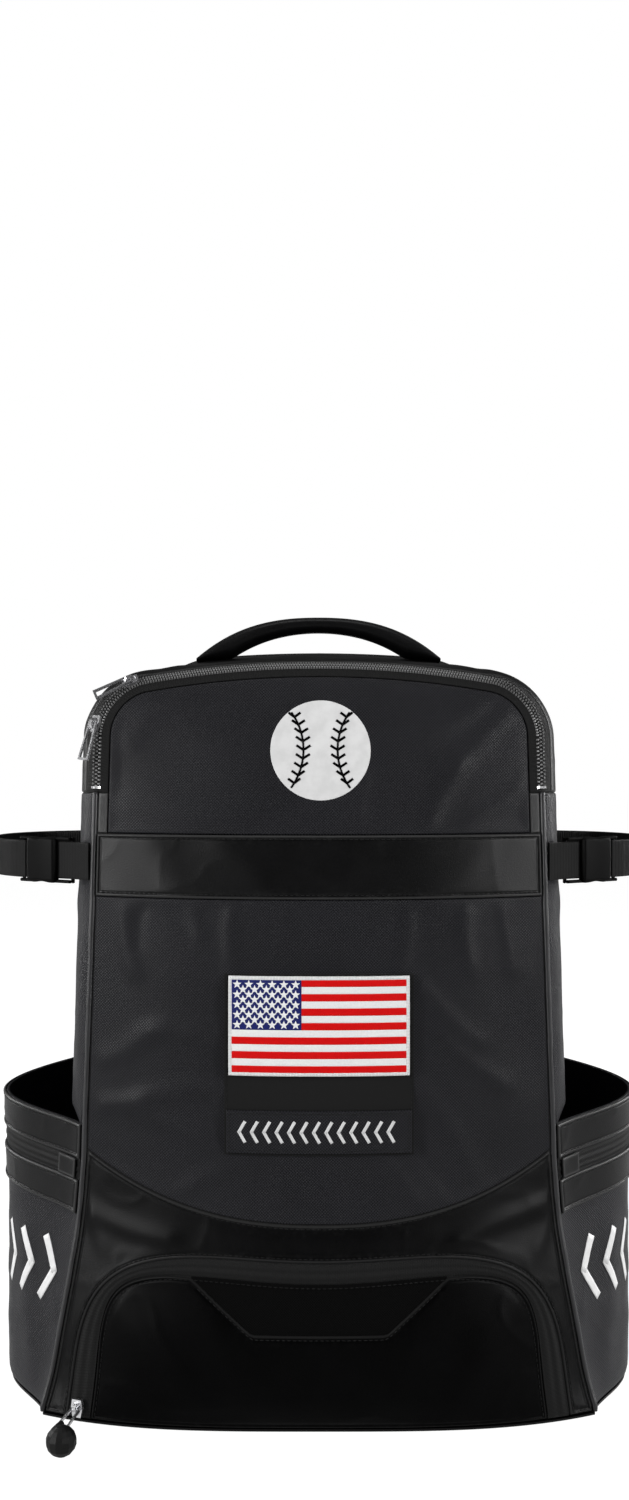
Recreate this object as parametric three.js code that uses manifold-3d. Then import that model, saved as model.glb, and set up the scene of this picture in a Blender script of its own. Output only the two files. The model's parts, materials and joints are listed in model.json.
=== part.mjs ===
// A baseball bat backpack: a soft bag of sewn panels with a bat sleeve and a bat strap on each side,
// a shoe compartment with a vented flap, a haul handle and two shoulder straps.
// Millimetres, +Z up, the front faces -Y, and the origin is the middle of the base.
import * as THREE from "three";
import { mergeVertices } from "three/addons/utils/BufferGeometryUtils.js";
import Module from "manifold-3d";

const wasm = await Module();
wasm.setup();

// Walls and the gaps between sewn pieces.
const CLOTH = 2;
const SKIN = 1.4;
const GAP = 0.4;
const PIPING_RADIUS = 1.8;
// How far a wall's inner edge may reach below its outer edge where the wall leans.
const FOOT_LEAN = 0.6;

// The front face: its seam outline, how far it stands forward and how much it crowns.
const FRONT_HEIGHT = 476;
const FRONT_ARCH_RISE = 16;
const FRONT_CORNER_RADIUS = 32;
const TOP_HALF_WIDTH = 142.5;
const BASE_HALF_WIDTH = 176;
const FRONT_REACH = 133;
const FRONT_CROWN = 44;

// The back panel.
const BACK_HEIGHT = 490;
const BACK_ARCH_RISE = 10;
const BACK_CORNER_RADIUS = 58;
const BACK_TOP_HALF_WIDTH = 134;
const BACK_BASE_HALF_WIDTH = 150;
const BACK_REACH = 88;
const BACK_LEAN = 7;
const BACK_PADDING = 6;

// The side walls and the bat sleeves on them.
const SIDE_BULGE = 12;
const POCKET_HEIGHT = 179.5;
const POCKET_TOP_RISE = 20;
const POCKET_OUTER_HALF_WIDTH = 214;
const POCKET_BASE_HALF_WIDTH = 209;
const POCKET_FRONT_ROUNDNESS = 1.4;
const POCKET_BACK_ROUNDNESS = 0.8;
const POCKET_FLOOR = 72;
const SLEEVE_ROOM = 8;
const SLEEVE_EASE = 12;
const UPPER_BAND_HEIGHT = 22;
const POCKET_ZIP_HEIGHT = 14;
const LOWER_BAND_HEIGHT = 21;
const GARAGE_LENGTH = 17;
const GARAGE_INSET = 1;
const ZIP_SKIN = 0.8;
const SKIN_TRIM = 0.022;
const POCKET_WALL_RUN = 230;
const POCKET_FLOOR_START = 0.12;
const POCKET_FLOOR_END = 0.9;

// The front face's panels.
const BAND_TOP = 367;
const BAND_HEIGHT = 39.5;
const BAND_RAISE = 0.6;
const YOKE_SEAM_SIDE = 166;
const YOKE_SEAM_MIDDLE = 128;
const YOKE_POWER = 2.4;
const MAIN_ZIP_END = 393;
const MAIN_ZIP_FRONT_WIDTH = 8.4;
const MAIN_ZIP_SIDE_WIDTH = 7.4;

// The shoe compartment's arch-shaped zip, flap and vent.
const ARCH_HALF_WIDTH = 150;
const ARCH_HEIGHT = 109;
const FLAP_HALF_WIDTH = 136;
const FLAP_HEIGHT = 97.5;
const ARCH_SAG = 3.5;
const ARCH_SAG_REACH = 0.45;
const ARCH_FLARE = 0.05;
const VENT_TOP_HALF_WIDTH = 79;
const VENT_BOTTOM_HALF_WIDTH = 41;
const VENT_BOTTOM = 64;
const VENT_TIP_DROP = 2.2;
const FLAP_CLEAR = 1.6;
const VENT_SINK = 0.6;
const ZIP_RAISE = 0.8;

// The patches on the front.
const FIELD = { halfWidth: 58.5, bottom: 170, top: 282, thickness: 1 };
const FLAG = { halfWidth: 55.5, bottom: 219.5, top: 280.8, thickness: 1.5 };
const LOWER_PATCH = { halfWidth: 57, bottom: 171.5, top: 198, thickness: 1 };

// Bat straps, their buckles and the webbing of both strap pairs.
const WEBBING_WIDTH = 24;
const WEBBING_THICKNESS = 1.6;
const BAT_STRAP_HEIGHT = 349;
const BAT_STRAP_REACH = 223;
const BUCKLE_LENGTH = 35;
const BUCKLE_WIDTH = 30;
const BUCKLE_THICKNESS = 6;
const BUCKLE_RIM = 3;
const BUCKLE_START = 0.2;

// The haul handle.
const HANDLE_HALF_SPAN = 85;
const HANDLE_INNER_HALF_SPAN = 60;
const HANDLE_TOP = 513;
const HANDLE_THICKNESS = 11;
const HANDLE_END_THICKNESS = 3;
const HANDLE_WIDTH = 25;
const HANDLE_DEPTH_SHARE = 0.62;
const HANDLE_FOOT_SHARE = 0.3;
const HANDLE_POWER = 2.3;

// The shoulder straps behind the back panel.
const STRAP_WIDTH = 62;
const STRAP_THICKNESS = 11;
const STRAP_BOW = 46;
const BOW_START = 0.06;
const BOW_RUN = 0.8;
const STRAP_NARROW = 0.62;
const WIDE_START = 0.18;
const WIDE_RUN = 0.75;
const STRAP_TOP = 448;
const STRAP_END = 196;
const STRAP_TOP_SPREAD = 46;
const STRAP_END_SPREAD = 104;
const STRAP_ANCHOR_SPREAD = 128;
const STRAP_ANCHOR_HEIGHT = 34;
const WEB_LEAD = 3;
const WEB_SWING = 9;
const WEB_DROP = 45;
const LADDERLOCK = { length: 24, rim: 4, bar: 3.4, thickness: 3.2 };

// Zip sliders and pulls.
const SLIDER = { length: 11, width: 8, height: 2.4, bridge: 2.6, bar: 2.4, clear: 0.3, roof: 1 };
const SLIDER_PLACE = 0.62;
const SHOE_SLIDER_TURN = -0.97;
const SHOE_SLIDER_CLEAR = 1.5;
const PULL_LENGTH = 24;
const PULL_WIDTH = 7.5;
const PULL_WIRE = 1.5;
const BALL_RADIUS = 9.3;
const STEM_RADIUS = 2;
const STEM_LENGTH = 13;
const STEM_LAP = 0.3;
const STEM_HEADING = { x: 0.35, y: -0.94 };

// How the front seam and face change with height: flare is a share of the widening to the base,
// reach of FRONT_REACH, crown of FRONT_CROWN, and power says how late the crown turns back.
const FRONT_SECTIONS = [
  { height: 0.0, flare: 1.0, reach: 0.905, crown: 0.58, power: 3.4 },
  { height: 0.052, flare: 0.8, reach: 0.972, crown: 0.9, power: 2.8 },
  { height: 0.126, flare: 0.61, reach: 1.0, crown: 1.0, power: 2.4 },
  { height: 0.2, flare: 0.42, reach: 0.965, crown: 0.93, power: 2.2 },
  { height: 0.26, flare: 0.3, reach: 0.915, crown: 0.85, power: 2.2 },
  { height: 0.335, flare: 0.215, reach: 0.89, crown: 0.78, power: 2.2 },
  { height: 0.42, flare: 0.17, reach: 0.89, crown: 0.74, power: 2.2 },
  { height: 0.55, flare: 0.1, reach: 0.895, crown: 0.73, power: 2.2 },
  { height: 0.66, flare: 0.05, reach: 0.88, crown: 0.68, power: 2.2 },
  { height: 0.77, flare: 0.02, reach: 0.84, crown: 0.62, power: 2.2 },
  { height: 0.87, flare: 0.0, reach: 0.765, crown: 0.5, power: 2.2 },
  { height: 0.94, flare: 0.0, reach: 0.66, crown: 0.36, power: 2.2 },
  { height: 1.0, flare: 0.0, reach: 0.54, crown: 0.24, power: 2.2 },
];

// How far the gusset swells between the front seam (depth 0) and the back seam (depth 1),
// as shares of SIDE_BULGE: full behind the front seam, and pressed in where the bats lie.
// The sleeve column is for the side wall behind the bat sleeve, the side column above it.
const GUSSET_SECTIONS = [
  { depth: 0.0, side: 0.0, sleeve: 0.0, top: 0.0 },
  { depth: 0.06, side: 0.7, sleeve: 0.1, top: 0.08 },
  { depth: 0.14, side: 1.0, sleeve: 0.1, top: 0.14 },
  { depth: 0.28, side: 0.15, sleeve: -0.2, top: 0.2 },
  { depth: 0.45, side: -0.5, sleeve: -0.5, top: 0.22 },
  { depth: 0.75, side: -0.4, sleeve: -0.4, top: 0.16 },
  { depth: 1.0, side: 0.0, sleeve: 0.0, top: 0.0 },
];

// The bat strap's line seen from above, from the front seam round two bats to the back seam:
// out is a share of the way from the seam to BAT_STRAP_REACH, depth of the way from front to back.
const BAT_STRAP_LINE = [
  { out: 0.0, depth: 0.0 },
  { out: 0.16, depth: 0.052 },
  { out: 0.43, depth: 0.125 },
  { out: 0.68, depth: 0.2 },
  { out: 0.87, depth: 0.31 },
  { out: 0.975, depth: 0.44 },
  { out: 1.0, depth: 0.57 },
  { out: 0.93, depth: 0.72 },
  { out: 0.7, depth: 0.86 },
  { out: 0.36, depth: 0.95 },
  { out: 0.0, depth: 0.99 },
];

const vector = (x, y, z) => new THREE.Vector3(x, y, z);
const mix = (a, b, t) => a + (b - a) * t;

function material(color, roughness, metalness = 0) {
  return new THREE.MeshStandardMaterial({ color, roughness, metalness });
}

const fabric = material(0x1d1d20, 0.6);
const leather = material(0x121213, 0.42);
const mesh = material(0x050505, 0.9);
const webbing = material(0x19191b, 0.85);
const plastic = material(0x141415, 0.5);
const zipTape = material(0x0b0b0c, 0.7);
const metal = material(0xc9cbce, 0.25, 1);
const rubber = material(0x0d0d0e, 0.6);
const flagThread = material(0xd9dade, 0.8);

// Reads one column of a table at a share between its rows, on a smooth cubic.
function readTable(table, key, column, share) {
  const last = table.length - 1;
  let i = 0;
  while (i < last - 1 && share > table[i + 1][key]) i++;
  const slope = (k) => {
    const a = table[Math.max(0, k - 1)];
    const b = table[Math.min(last, k + 1)];
    return (b[column] - a[column]) / (b[key] - a[key]);
  };
  const from = table[i];
  const to = table[i + 1];
  const width = to[key] - from[key];
  const t = Math.min(1, Math.max(0, (share - from[key]) / width));
  const rise = t * t * (3 - 2 * t);
  const leave = t * (1 - t) * (1 - t) * width;
  const arrive = t * t * (t - 1) * width;
  return (
    from[column] * (1 - rise) + to[column] * rise + slope(i) * leave + slope(i + 1) * arrive
  );
}

function seamHalfWidth(z) {
  const flare = readTable(FRONT_SECTIONS, "height", "flare", z / FRONT_HEIGHT);
  return TOP_HALF_WIDTH + (BASE_HALF_WIDTH - TOP_HALF_WIDTH) * flare;
}

function frontY(x, z) {
  const share = z / FRONT_HEIGHT;
  const reach = FRONT_REACH * readTable(FRONT_SECTIONS, "height", "reach", share);
  const crown = FRONT_CROWN * readTable(FRONT_SECTIONS, "height", "crown", share);
  const power = readTable(FRONT_SECTIONS, "height", "power", share);
  return -reach + crown * Math.pow(Math.abs(x) / seamHalfWidth(z), power);
}

function backHalfWidth(z) {
  return BACK_BASE_HALF_WIDTH + ((BACK_TOP_HALF_WIDTH - BACK_BASE_HALF_WIDTH) * z) / BACK_HEIGHT;
}

function backY(z) {
  return BACK_REACH - (BACK_LEAN * z) / BACK_HEIGHT;
}

// The seam outlines. s runs from -1 at the left of the base over 0 at the top to 1 at the right.
const ARCH_SHARE = 0.24;
const CORNER_SHARE = 0.34;
const FRONT_OUTLINE = {
  height: FRONT_HEIGHT,
  rise: FRONT_ARCH_RISE,
  radius: FRONT_CORNER_RADIUS,
  halfWidth: seamHalfWidth,
};
const BACK_OUTLINE = {
  height: BACK_HEIGHT,
  rise: BACK_ARCH_RISE,
  radius: BACK_CORNER_RADIUS,
  halfWidth: backHalfWidth,
};

function outlinePoint(outline, s, inset = 0) {
  const k = Math.abs(s);
  const cornerTop = outline.height - outline.rise - outline.radius;
  if (k >= CORNER_SHARE) {
    const z = (cornerTop * (1 - k)) / (1 - CORNER_SHARE);
    return { x: Math.sign(s) * (outline.halfWidth(z) - inset), z };
  }
  const half = outline.halfWidth(cornerTop);
  const radius = outline.radius - inset;
  const straight = half - outline.radius;
  const turn = Math.max(0, (k - ARCH_SHARE) / (CORNER_SHARE - ARCH_SHARE)) * (Math.PI / 2);
  const x = k < ARCH_SHARE ? (straight * k) / ARCH_SHARE : straight + radius * Math.sin(turn);
  const drop = outline.radius - radius * Math.cos(turn);
  return { x: Math.sign(s) * x, z: outline.height - outline.rise * (x / half) ** 2 - drop };
}

// The s of a point on the side of the front outline at height z.
function sideStation(z) {
  const cornerTop = FRONT_HEIGHT - FRONT_ARCH_RISE - FRONT_CORNER_RADIUS;
  return 1 - (z / cornerTop) * (1 - CORNER_SHARE);
}

function frontPoint(x, z) {
  return vector(x, frontY(x, z), z);
}

function frontNormal({ x, z }) {
  const step = 0.5;
  const slopeX = (frontY(x + step, z) - frontY(x - step, z)) / (2 * step);
  const slopeZ = (frontY(x, z + step) - frontY(x, z - step)) / (2 * step);
  return vector(slopeX, -1, slopeZ).normalize();
}

// How far a height lies behind the bat sleeve: 1 behind it, 0 above it.
function sleeveShare(z) {
  return Math.min(1, Math.max(0, (POCKET_HEIGHT + SLEEVE_EASE - z) / (2 * SLEEVE_EASE)));
}

function gussetPoint(s, depth) {
  const front = outlinePoint(FRONT_OUTLINE, s);
  const back = outlinePoint(BACK_OUTLINE, s);
  const start = frontPoint(front.x, front.z);
  const end = vector(back.x, backY(back.z), back.z);
  const step = 0.004;
  const before = outlinePoint(FRONT_OUTLINE, s - step);
  const after = outlinePoint(FRONT_OUTLINE, s + step);
  const out = vector(before.z - after.z, 0, after.x - before.x).normalize();
  const sideways = Math.min(1, Math.abs(out.x));
  const read = (column) => readTable(GUSSET_SECTIONS, "depth", column, depth);
  const sideSwell = mix(read("side"), read("sleeve"), sleeveShare(front.z));
  const swell = mix(read("top"), sideSwell, sideways);
  return start.lerp(end, depth).addScaledVector(out, SIDE_BULGE * swell);
}

function pocketPoint(side, depth, z) {
  const start = vector(seamHalfWidth(z), frontY(seamHalfWidth(z), z), z);
  const end = vector(backHalfWidth(z), backY(z), z);
  const point = start.lerp(end, depth);
  const share = Math.min(1, z / POCKET_HEIGHT);
  const outer = mix(POCKET_BASE_HALF_WIDTH, POCKET_OUTER_HALF_WIDTH, share);
  const middle = (seamHalfWidth(z) + backHalfWidth(z)) / 2;
  const roundness = mix(POCKET_FRONT_ROUNDNESS, POCKET_BACK_ROUNDNESS, depth);
  const swell = Math.pow(Math.max(0, Math.sin(Math.PI * depth)), roundness);
  point.x = side * (point.x + (outer - middle) * swell);
  return point;
}

function pocketTop(depth) {
  return POCKET_HEIGHT + POCKET_TOP_RISE * depth;
}

// A closed geometry whose faces point out, from corner points and triangles.
function closedGeometry(points, faces) {
  let volume = 0;
  for (const [a, b, c] of faces) {
    volume += points[a].dot(vector(0, 0, 0).crossVectors(points[b], points[c]));
  }
  const index = faces.flatMap(([a, b, c]) => (volume > 0 ? [a, b, c] : [a, c, b]));
  const geometry = new THREE.BufferGeometry().setFromPoints(points).setIndex(index);
  geometry.computeVertexNormals();
  return geometry;
}

// A slab between two grids of points, closed round its rim.
function slab(outer, inner, columns, rows) {
  const points = [];
  const at = (layer, i, j) => (layer * (columns + 1) + i) * (rows + 1) + j;
  for (const grid of [outer, inner]) {
    for (let i = 0; i <= columns; i++) {
      for (let j = 0; j <= rows; j++) points.push(grid(i / columns, j / rows));
    }
  }
  const faces = [];
  const quad = (a, b, c, d) => faces.push([a, b, c], [a, c, d]);
  for (let i = 0; i < columns; i++) {
    for (let j = 0; j < rows; j++) {
      quad(at(0, i, j), at(0, i + 1, j), at(0, i + 1, j + 1), at(0, i, j + 1));
      quad(at(1, i, j), at(1, i, j + 1), at(1, i + 1, j + 1), at(1, i + 1, j));
    }
    quad(at(0, i, 0), at(1, i, 0), at(1, i + 1, 0), at(0, i + 1, 0));
    quad(at(0, i, rows), at(0, i + 1, rows), at(1, i + 1, rows), at(1, i, rows));
  }
  for (let j = 0; j < rows; j++) {
    quad(at(0, 0, j), at(0, 0, j + 1), at(1, 0, j + 1), at(1, 0, j));
    quad(at(0, columns, j), at(1, columns, j), at(1, columns, j + 1), at(0, columns, j + 1));
  }
  return closedGeometry(points, faces);
}

// The outward direction of a surface of two shares, away from a line up the middle of the bag.
const CORE_SHARE = 0.8;
function surfaceNormal(surface, u, v) {
  const reach = 1e-3;
  const point = surface(u, v);
  const along = surface(u + reach, v).sub(surface(u - reach, v));
  const across = surface(u, v + reach).sub(surface(u, v - reach));
  const normal = along.cross(across).normalize();
  const core = vector(0, 0, Math.min(point.z, CORE_SHARE * FRONT_HEIGHT));
  return normal.dot(point.sub(core)) < 0 ? normal.negate() : normal;
}

// A wall of cloth on a surface of two shares: its outer face is lifted off the surface by lift.
function wall(surface, columns, rows, { lift = 0, thickness = CLOTH, normalAt } = {}) {
  const shifted = (u, v, by) => {
    const point = surface(u, v);
    const normal = normalAt ? normalAt(point) : surfaceNormal(surface, u, v);
    return point.addScaledVector(normal, by);
  };
  const outer = (u, v) => shifted(u, v, lift);
  const inner = (u, v) => shifted(u, v, lift - thickness);
  return slab(outer, inner, columns, rows);
}

// A section of [across, out] pairs swept along stations, with flat ends.
function sweep(stations, section) {
  const points = [];
  for (const { centre, across, out, wide = 1, deep = 1 } of stations) {
    for (const [a, o] of section) {
      points.push(centre.clone().addScaledVector(across, a * wide).addScaledVector(out, o * deep));
    }
  }
  const n = section.length;
  const faces = [];
  for (let k = 0; k + 1 < stations.length; k++) {
    for (let i = 0; i < n; i++) {
      const j = (i + 1) % n;
      const [a, b] = [k * n + i, k * n + j];
      faces.push([a, b, b + n], [a, b + n, a + n]);
    }
  }
  const end = (stations.length - 1) * n;
  for (let i = 1; i + 1 < n; i++) {
    faces.push([0, i + 1, i], [end, end + i, end + i + 1]);
  }
  return closedGeometry(points, faces);
}

function ring(radiusAcross, radiusOut, sides) {
  return Array.from({ length: sides }, (_, i) => {
    const angle = ((i + 0.5) * 2 * Math.PI) / sides;
    return [radiusAcross * Math.cos(angle), radiusOut * Math.sin(angle)];
  });
}

// Stations along a list of points, with the across direction kept as near to hint as it can be.
function stationsAlong(points, hint) {
  return points.map((centre, i) => {
    const before = points[Math.max(0, i - 1)];
    const after = points[Math.min(points.length - 1, i + 1)];
    const along = after.clone().sub(before).normalize();
    const across = hint.clone().addScaledVector(along, -hint.dot(along)).normalize();
    return { centre, across, out: vector(0, 0, 0).crossVectors(along, across) };
  });
}

function strapSection(width, thickness) {
  const w = width / 2;
  const t = thickness / 2;
  return [[-w, -t], [w, -t], [w, t], [-w, t]];
}

// A solid of manifold-3d from a closed geometry, and a joined geometry back from solids.
function solidOf(geometry) {
  const bare = geometry.index ? geometry.toNonIndexed() : geometry.clone();
  bare.deleteAttribute("normal");
  bare.deleteAttribute("uv");
  const merged = mergeVertices(bare, 1e-4);
  return new wasm.Manifold(
    new wasm.Mesh({
      numProp: 3,
      vertProperties: merged.attributes.position.array,
      triVerts: new Uint32Array(merged.index.array),
    }),
  );
}

function joined(...geometries) {
  const solid = geometries.map(solidOf).reduce((all, one) => all.add(one));
  const result = solid.getMesh();
  const positions = new THREE.BufferAttribute(new Float32Array(result.vertProperties), 3);
  const geometry = new THREE.BufferGeometry().setAttribute("position", positions);
  geometry.setIndex(new THREE.BufferAttribute(new Uint32Array(result.triVerts), 1));
  geometry.computeVertexNormals();
  return geometry;
}

const bag = new THREE.Group();

function piece(name, geometry, look) {
  const made = new THREE.Mesh(geometry, look);
  made.name = name;
  bag.add(made);
  return made;
}

const SIDES = [
  { name: "left", side: -1 },
  { name: "right", side: 1 },
];

const WALL_FOOT = CLOTH + GAP + FOOT_LEAN;
const PIPING_CLEAR = PIPING_RADIUS + GAP;

// A wall on the front face.
function frontWall(surface, columns, rows, options = {}) {
  return wall(surface, columns, rows, { normalAt: frontNormal, ...options });
}

// Reads a list of stops at a share of its length.
function atStops(stops, share) {
  const last = stops.length - 1;
  const i = Math.min(last - 1, Math.max(0, Math.floor(share * last)));
  return mix(stops[i], stops[i + 1], share * last - i);
}

function mirroredStops(half) {
  return [...half.map((x) => -x), ...half.toReversed()];
}

// Front panels, from the top down. Each spans the face between the two piped seams.
function faceStrip(low, high, inset) {
  return (u, v) => {
    const share = 2 * u - 1;
    const z = mix(low(share), high(share), v);
    return frontPoint(share * (seamHalfWidth(z) - inset), z);
  };
}

function yokeSeam(share) {
  const bow = Math.pow(Math.min(1, Math.abs(share)), YOKE_POWER);
  return mix(YOKE_SEAM_MIDDLE, YOKE_SEAM_SIDE, bow);
}

function frontTopPanel() {
  const inset = MAIN_ZIP_FRONT_WIDTH + GAP;
  return (u, v) => {
    const s = (2 * u - 1) * CORNER_SHARE;
    const top = outlinePoint(FRONT_OUTLINE, s, inset);
    const cornerTop = FRONT_HEIGHT - FRONT_ARCH_RISE - FRONT_CORNER_RADIUS;
    const z = mix(BAND_TOP + GAP, top.z, v);
    const width = (seamHalfWidth(z) - inset) / (seamHalfWidth(cornerTop) - inset);
    return frontPoint(top.x * width, z);
  };
}

piece("front_top_panel", frontWall(frontTopPanel(), 22, 6), fabric);
const bandBottom = BAND_TOP - BAND_HEIGHT;
piece(
  "front_band",
  frontWall(faceStrip(() => bandBottom, () => BAND_TOP, PIPING_CLEAR), 18, 2, {
    lift: BAND_RAISE,
    thickness: CLOTH + BAND_RAISE,
  }),
  leather,
);
const mainStrip = faceStrip((share) => yokeSeam(share) + GAP, () => bandBottom - GAP, PIPING_CLEAR);
piece("front_main_panel", frontWall(mainStrip, 20, 8), fabric);
for (const { name, side } of SIDES) {
  const strip = (u, v) => {
    const z = mix(BAND_TOP + GAP, MAIN_ZIP_END - GAP, v);
    const inset = mix(MAIN_ZIP_FRONT_WIDTH, PIPING_CLEAR, u);
    return frontPoint(side * (seamHalfWidth(z) - inset), z);
  };
  piece("zip_end_tab_" + name, frontWall(strip, 1, 2), leather);
}

// The arch of the shoe compartment: a superellipse, wider at the foot and sagging at the crown.
// turn runs from -1 at the left foot over 0 at the crown to 1 at the right foot.
function archPoint(turn, halfWidth, height, power) {
  const corner = Math.pow(0.5, 1 / power);
  const q = Math.abs(turn);
  const near = 2 * corner * Math.min(q, 1 - q);
  const far = Math.pow(1 - Math.pow(near, power), 1 / power);
  const x = Math.sign(turn) * halfWidth * (q < 0.5 ? near : far);
  const z = height * (q < 0.5 ? far : near);
  return { x: x * archFlare(z, height), z: Math.max(WALL_FOOT, z - archSag(x, halfWidth)) };
}

function archFlare(z, height) {
  return 1 + ARCH_FLARE * (1 - z / height) ** 2;
}

function archSag(x, halfWidth) {
  return ARCH_SAG * Math.exp(-((x / (ARCH_SAG_REACH * halfWidth)) ** 2));
}

const OUTER_ARCH_POWER = 4;
const FLAP_ARCH_POWER = 6;
const outerArch = (turn, grow = 0) =>
  archPoint(turn, ARCH_HALF_WIDTH + grow, ARCH_HEIGHT + grow, OUTER_ARCH_POWER);
const innerArch = (turn, grow = 0) =>
  archPoint(turn, FLAP_HALF_WIDTH + grow, FLAP_HEIGHT + grow, FLAP_ARCH_POWER);

// The outer edge of the panel round the arch: along the yoke seam, then down the piped seam.
const EDGE_TURN = 0.56;
function lowerPanelEdge(turn) {
  const q = Math.abs(turn);
  const top = yokeSeam(1) - GAP;
  const fall = (q - EDGE_TURN) / (1 - EDGE_TURN);
  const z = q < EDGE_TURN ? yokeSeam(q / EDGE_TURN) - GAP : mix(top, WALL_FOOT, fall);
  const share = Math.min(1, q / EDGE_TURN);
  return { x: Math.sign(turn) * share * (seamHalfWidth(z) - PIPING_CLEAR), z };
}

function lowerPanel(u, v) {
  const arch = outerArch(2 * u - 1, GAP);
  const edge = lowerPanelEdge(2 * u - 1);
  return frontPoint(mix(arch.x, edge.x, v), mix(arch.z, edge.z, v));
}

function shoeZip(u, v) {
  const inner = innerArch(2 * u - 1, GAP);
  const outer = outerArch(2 * u - 1);
  return frontPoint(mix(inner.x, outer.x, v), mix(inner.z, outer.z, v));
}

// The vent's lower edge over x: flat in the middle, rising to the arch on both sides.
function ventEdge(x) {
  const run = VENT_TOP_HALF_WIDTH - VENT_BOTTOM_HALF_WIDTH;
  const share = Math.min(1, Math.max(0, (Math.abs(x) - VENT_BOTTOM_HALF_WIDTH) / run));
  return mix(VENT_BOTTOM, FLAP_HEIGHT - VENT_TIP_DROP, share);
}

const flapHalfWidth = FLAP_HALF_WIDTH - FLAP_CLEAR;
function flapTop(x) {
  const reach = Math.min(1, Math.abs(x) / flapHalfWidth);
  const drop = Math.pow(1 - Math.pow(reach, FLAP_ARCH_POWER), 1 / FLAP_ARCH_POWER);
  return (FLAP_HEIGHT - GAP) * drop - archSag(x, flapHalfWidth);
}

const ventMiddle = (VENT_TOP_HALF_WIDTH + VENT_BOTTOM_HALF_WIDTH) / 2;
const FLAP_SHOULDERS = [0.988, 0.965, 0.93, 0.87, 0.76];
const flapStops = mirroredStops([
  ...FLAP_SHOULDERS.map((share) => share * flapHalfWidth),
  VENT_TOP_HALF_WIDTH,
  ventMiddle,
  VENT_BOTTOM_HALF_WIDTH,
  VENT_BOTTOM_HALF_WIDTH / 3,
]);
const ventStops = mirroredStops([
  VENT_TOP_HALF_WIDTH - VENT_TIP_DROP,
  ventMiddle,
  VENT_BOTTOM_HALF_WIDTH,
  VENT_BOTTOM_HALF_WIDTH / 3,
]);

function flap(u, v) {
  const x = atStops(flapStops, u);
  const z = mix(WALL_FOOT, Math.min(flapTop(x), ventEdge(x) - GAP), v);
  return frontPoint(x * archFlare(z, FLAP_HEIGHT), z);
}

function vent(u, v) {
  const x = atStops(ventStops, u);
  const z = mix(ventEdge(x) + GAP, flapTop(x) - GAP, v);
  return frontPoint(x * archFlare(z, FLAP_HEIGHT), z);
}

piece("front_lower_panel", frontWall(lowerPanel, 32, 3), leather);
piece(
  "shoe_zip",
  frontWall(shoeZip, 32, 1, { lift: ZIP_RAISE, thickness: CLOTH + ZIP_RAISE }),
  zipTape,
);
piece("shoe_flap", frontWall(flap, flapStops.length - 1, 4), leather);
piece(
  "shoe_vent",
  frontWall(vent, ventStops.length - 1, 1, { lift: -VENT_SINK, thickness: CLOTH - VENT_SINK }),
  mesh,
);

// The piped seams, from the base to the ends of the main zip.
for (const { name, side } of SIDES) {
  const steps = 20;
  const points = Array.from({ length: steps + 1 }, (_, i) => {
    const z = mix(WALL_FOOT + GAP, MAIN_ZIP_END - GAP, i / steps);
    return frontPoint(side * seamHalfWidth(z), z);
  });
  const stations = stationsAlong(points, vector(1, 0, 0));
  piece("piping_" + name, sweep(stations, ring(PIPING_RADIUS, PIPING_RADIUS, 6)), leather);
}

// The main zip wraps the corner between the front face and the gusset, over the top of the bag.
const zipStation = sideStation(MAIN_ZIP_END);
function depthShare(s, millimetres) {
  return millimetres / gussetPoint(s, 0).distanceTo(gussetPoint(s, 1));
}

function mainZip(u, v) {
  const s = (2 * u - 1) * zipStation;
  const inner = outlinePoint(FRONT_OUTLINE, s, MAIN_ZIP_FRONT_WIDTH);
  const a = frontPoint(inner.x, inner.z);
  const edge = outlinePoint(FRONT_OUTLINE, s);
  const b = frontPoint(edge.x, edge.z);
  const c = gussetPoint(s, depthShare(s, MAIN_ZIP_SIDE_WIDTH));
  return a
    .multiplyScalar((1 - v) * (1 - v))
    .addScaledVector(b, 2 * v * (1 - v))
    .addScaledVector(c, v * v);
}

piece("main_zip", wall(mainZip, 40, 2), zipTape);

// The gusset: one panel over the top, and one wall down each side to the floor of the bat sleeve.
// It starts further back where the bat sleeve is sewn into the same seam.
function sleeveRoom(s) {
  return SLEEVE_ROOM * sleeveShare(outlinePoint(FRONT_OUTLINE, s).z);
}

function gussetPart(from, to, clear) {
  return (u, v) => {
    const s = mix(from, to, u);
    const start = depthShare(s, clear + sleeveRoom(s));
    return gussetPoint(s, mix(start, 1 - depthShare(s, GAP + BACK_PADDING / 2), v));
  };
}

piece(
  "top_panel",
  wall(gussetPart(-zipStation, zipStation, MAIN_ZIP_SIDE_WIDTH + GAP), 40, 3),
  leather,
);
for (const { name, side } of SIDES) {
  const low = side * sideStation(POCKET_FLOOR + GAP);
  const high = side * sideStation(MAIN_ZIP_END - GAP);
  piece("side_panel_" + name, wall(gussetPart(low, high, PIPING_CLEAR), 10, 9), fabric);
}

// The padded back panel.
function back(u, v) {
  const s = (2 * u - 1) * CORNER_SHARE;
  const top = outlinePoint(BACK_OUTLINE, s, GAP);
  const z = mix(WALL_FOOT, top.z, v);
  const cornerTop = BACK_HEIGHT - BACK_ARCH_RISE - BACK_CORNER_RADIUS;
  const width = (backHalfWidth(z) - GAP) / (backHalfWidth(cornerTop) - GAP);
  return vector(top.x * width, backY(z), z);
}

piece("back_panel", wall(back, 16, 8, { lift: BACK_PADDING / 2, thickness: BACK_PADDING }), fabric);

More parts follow.
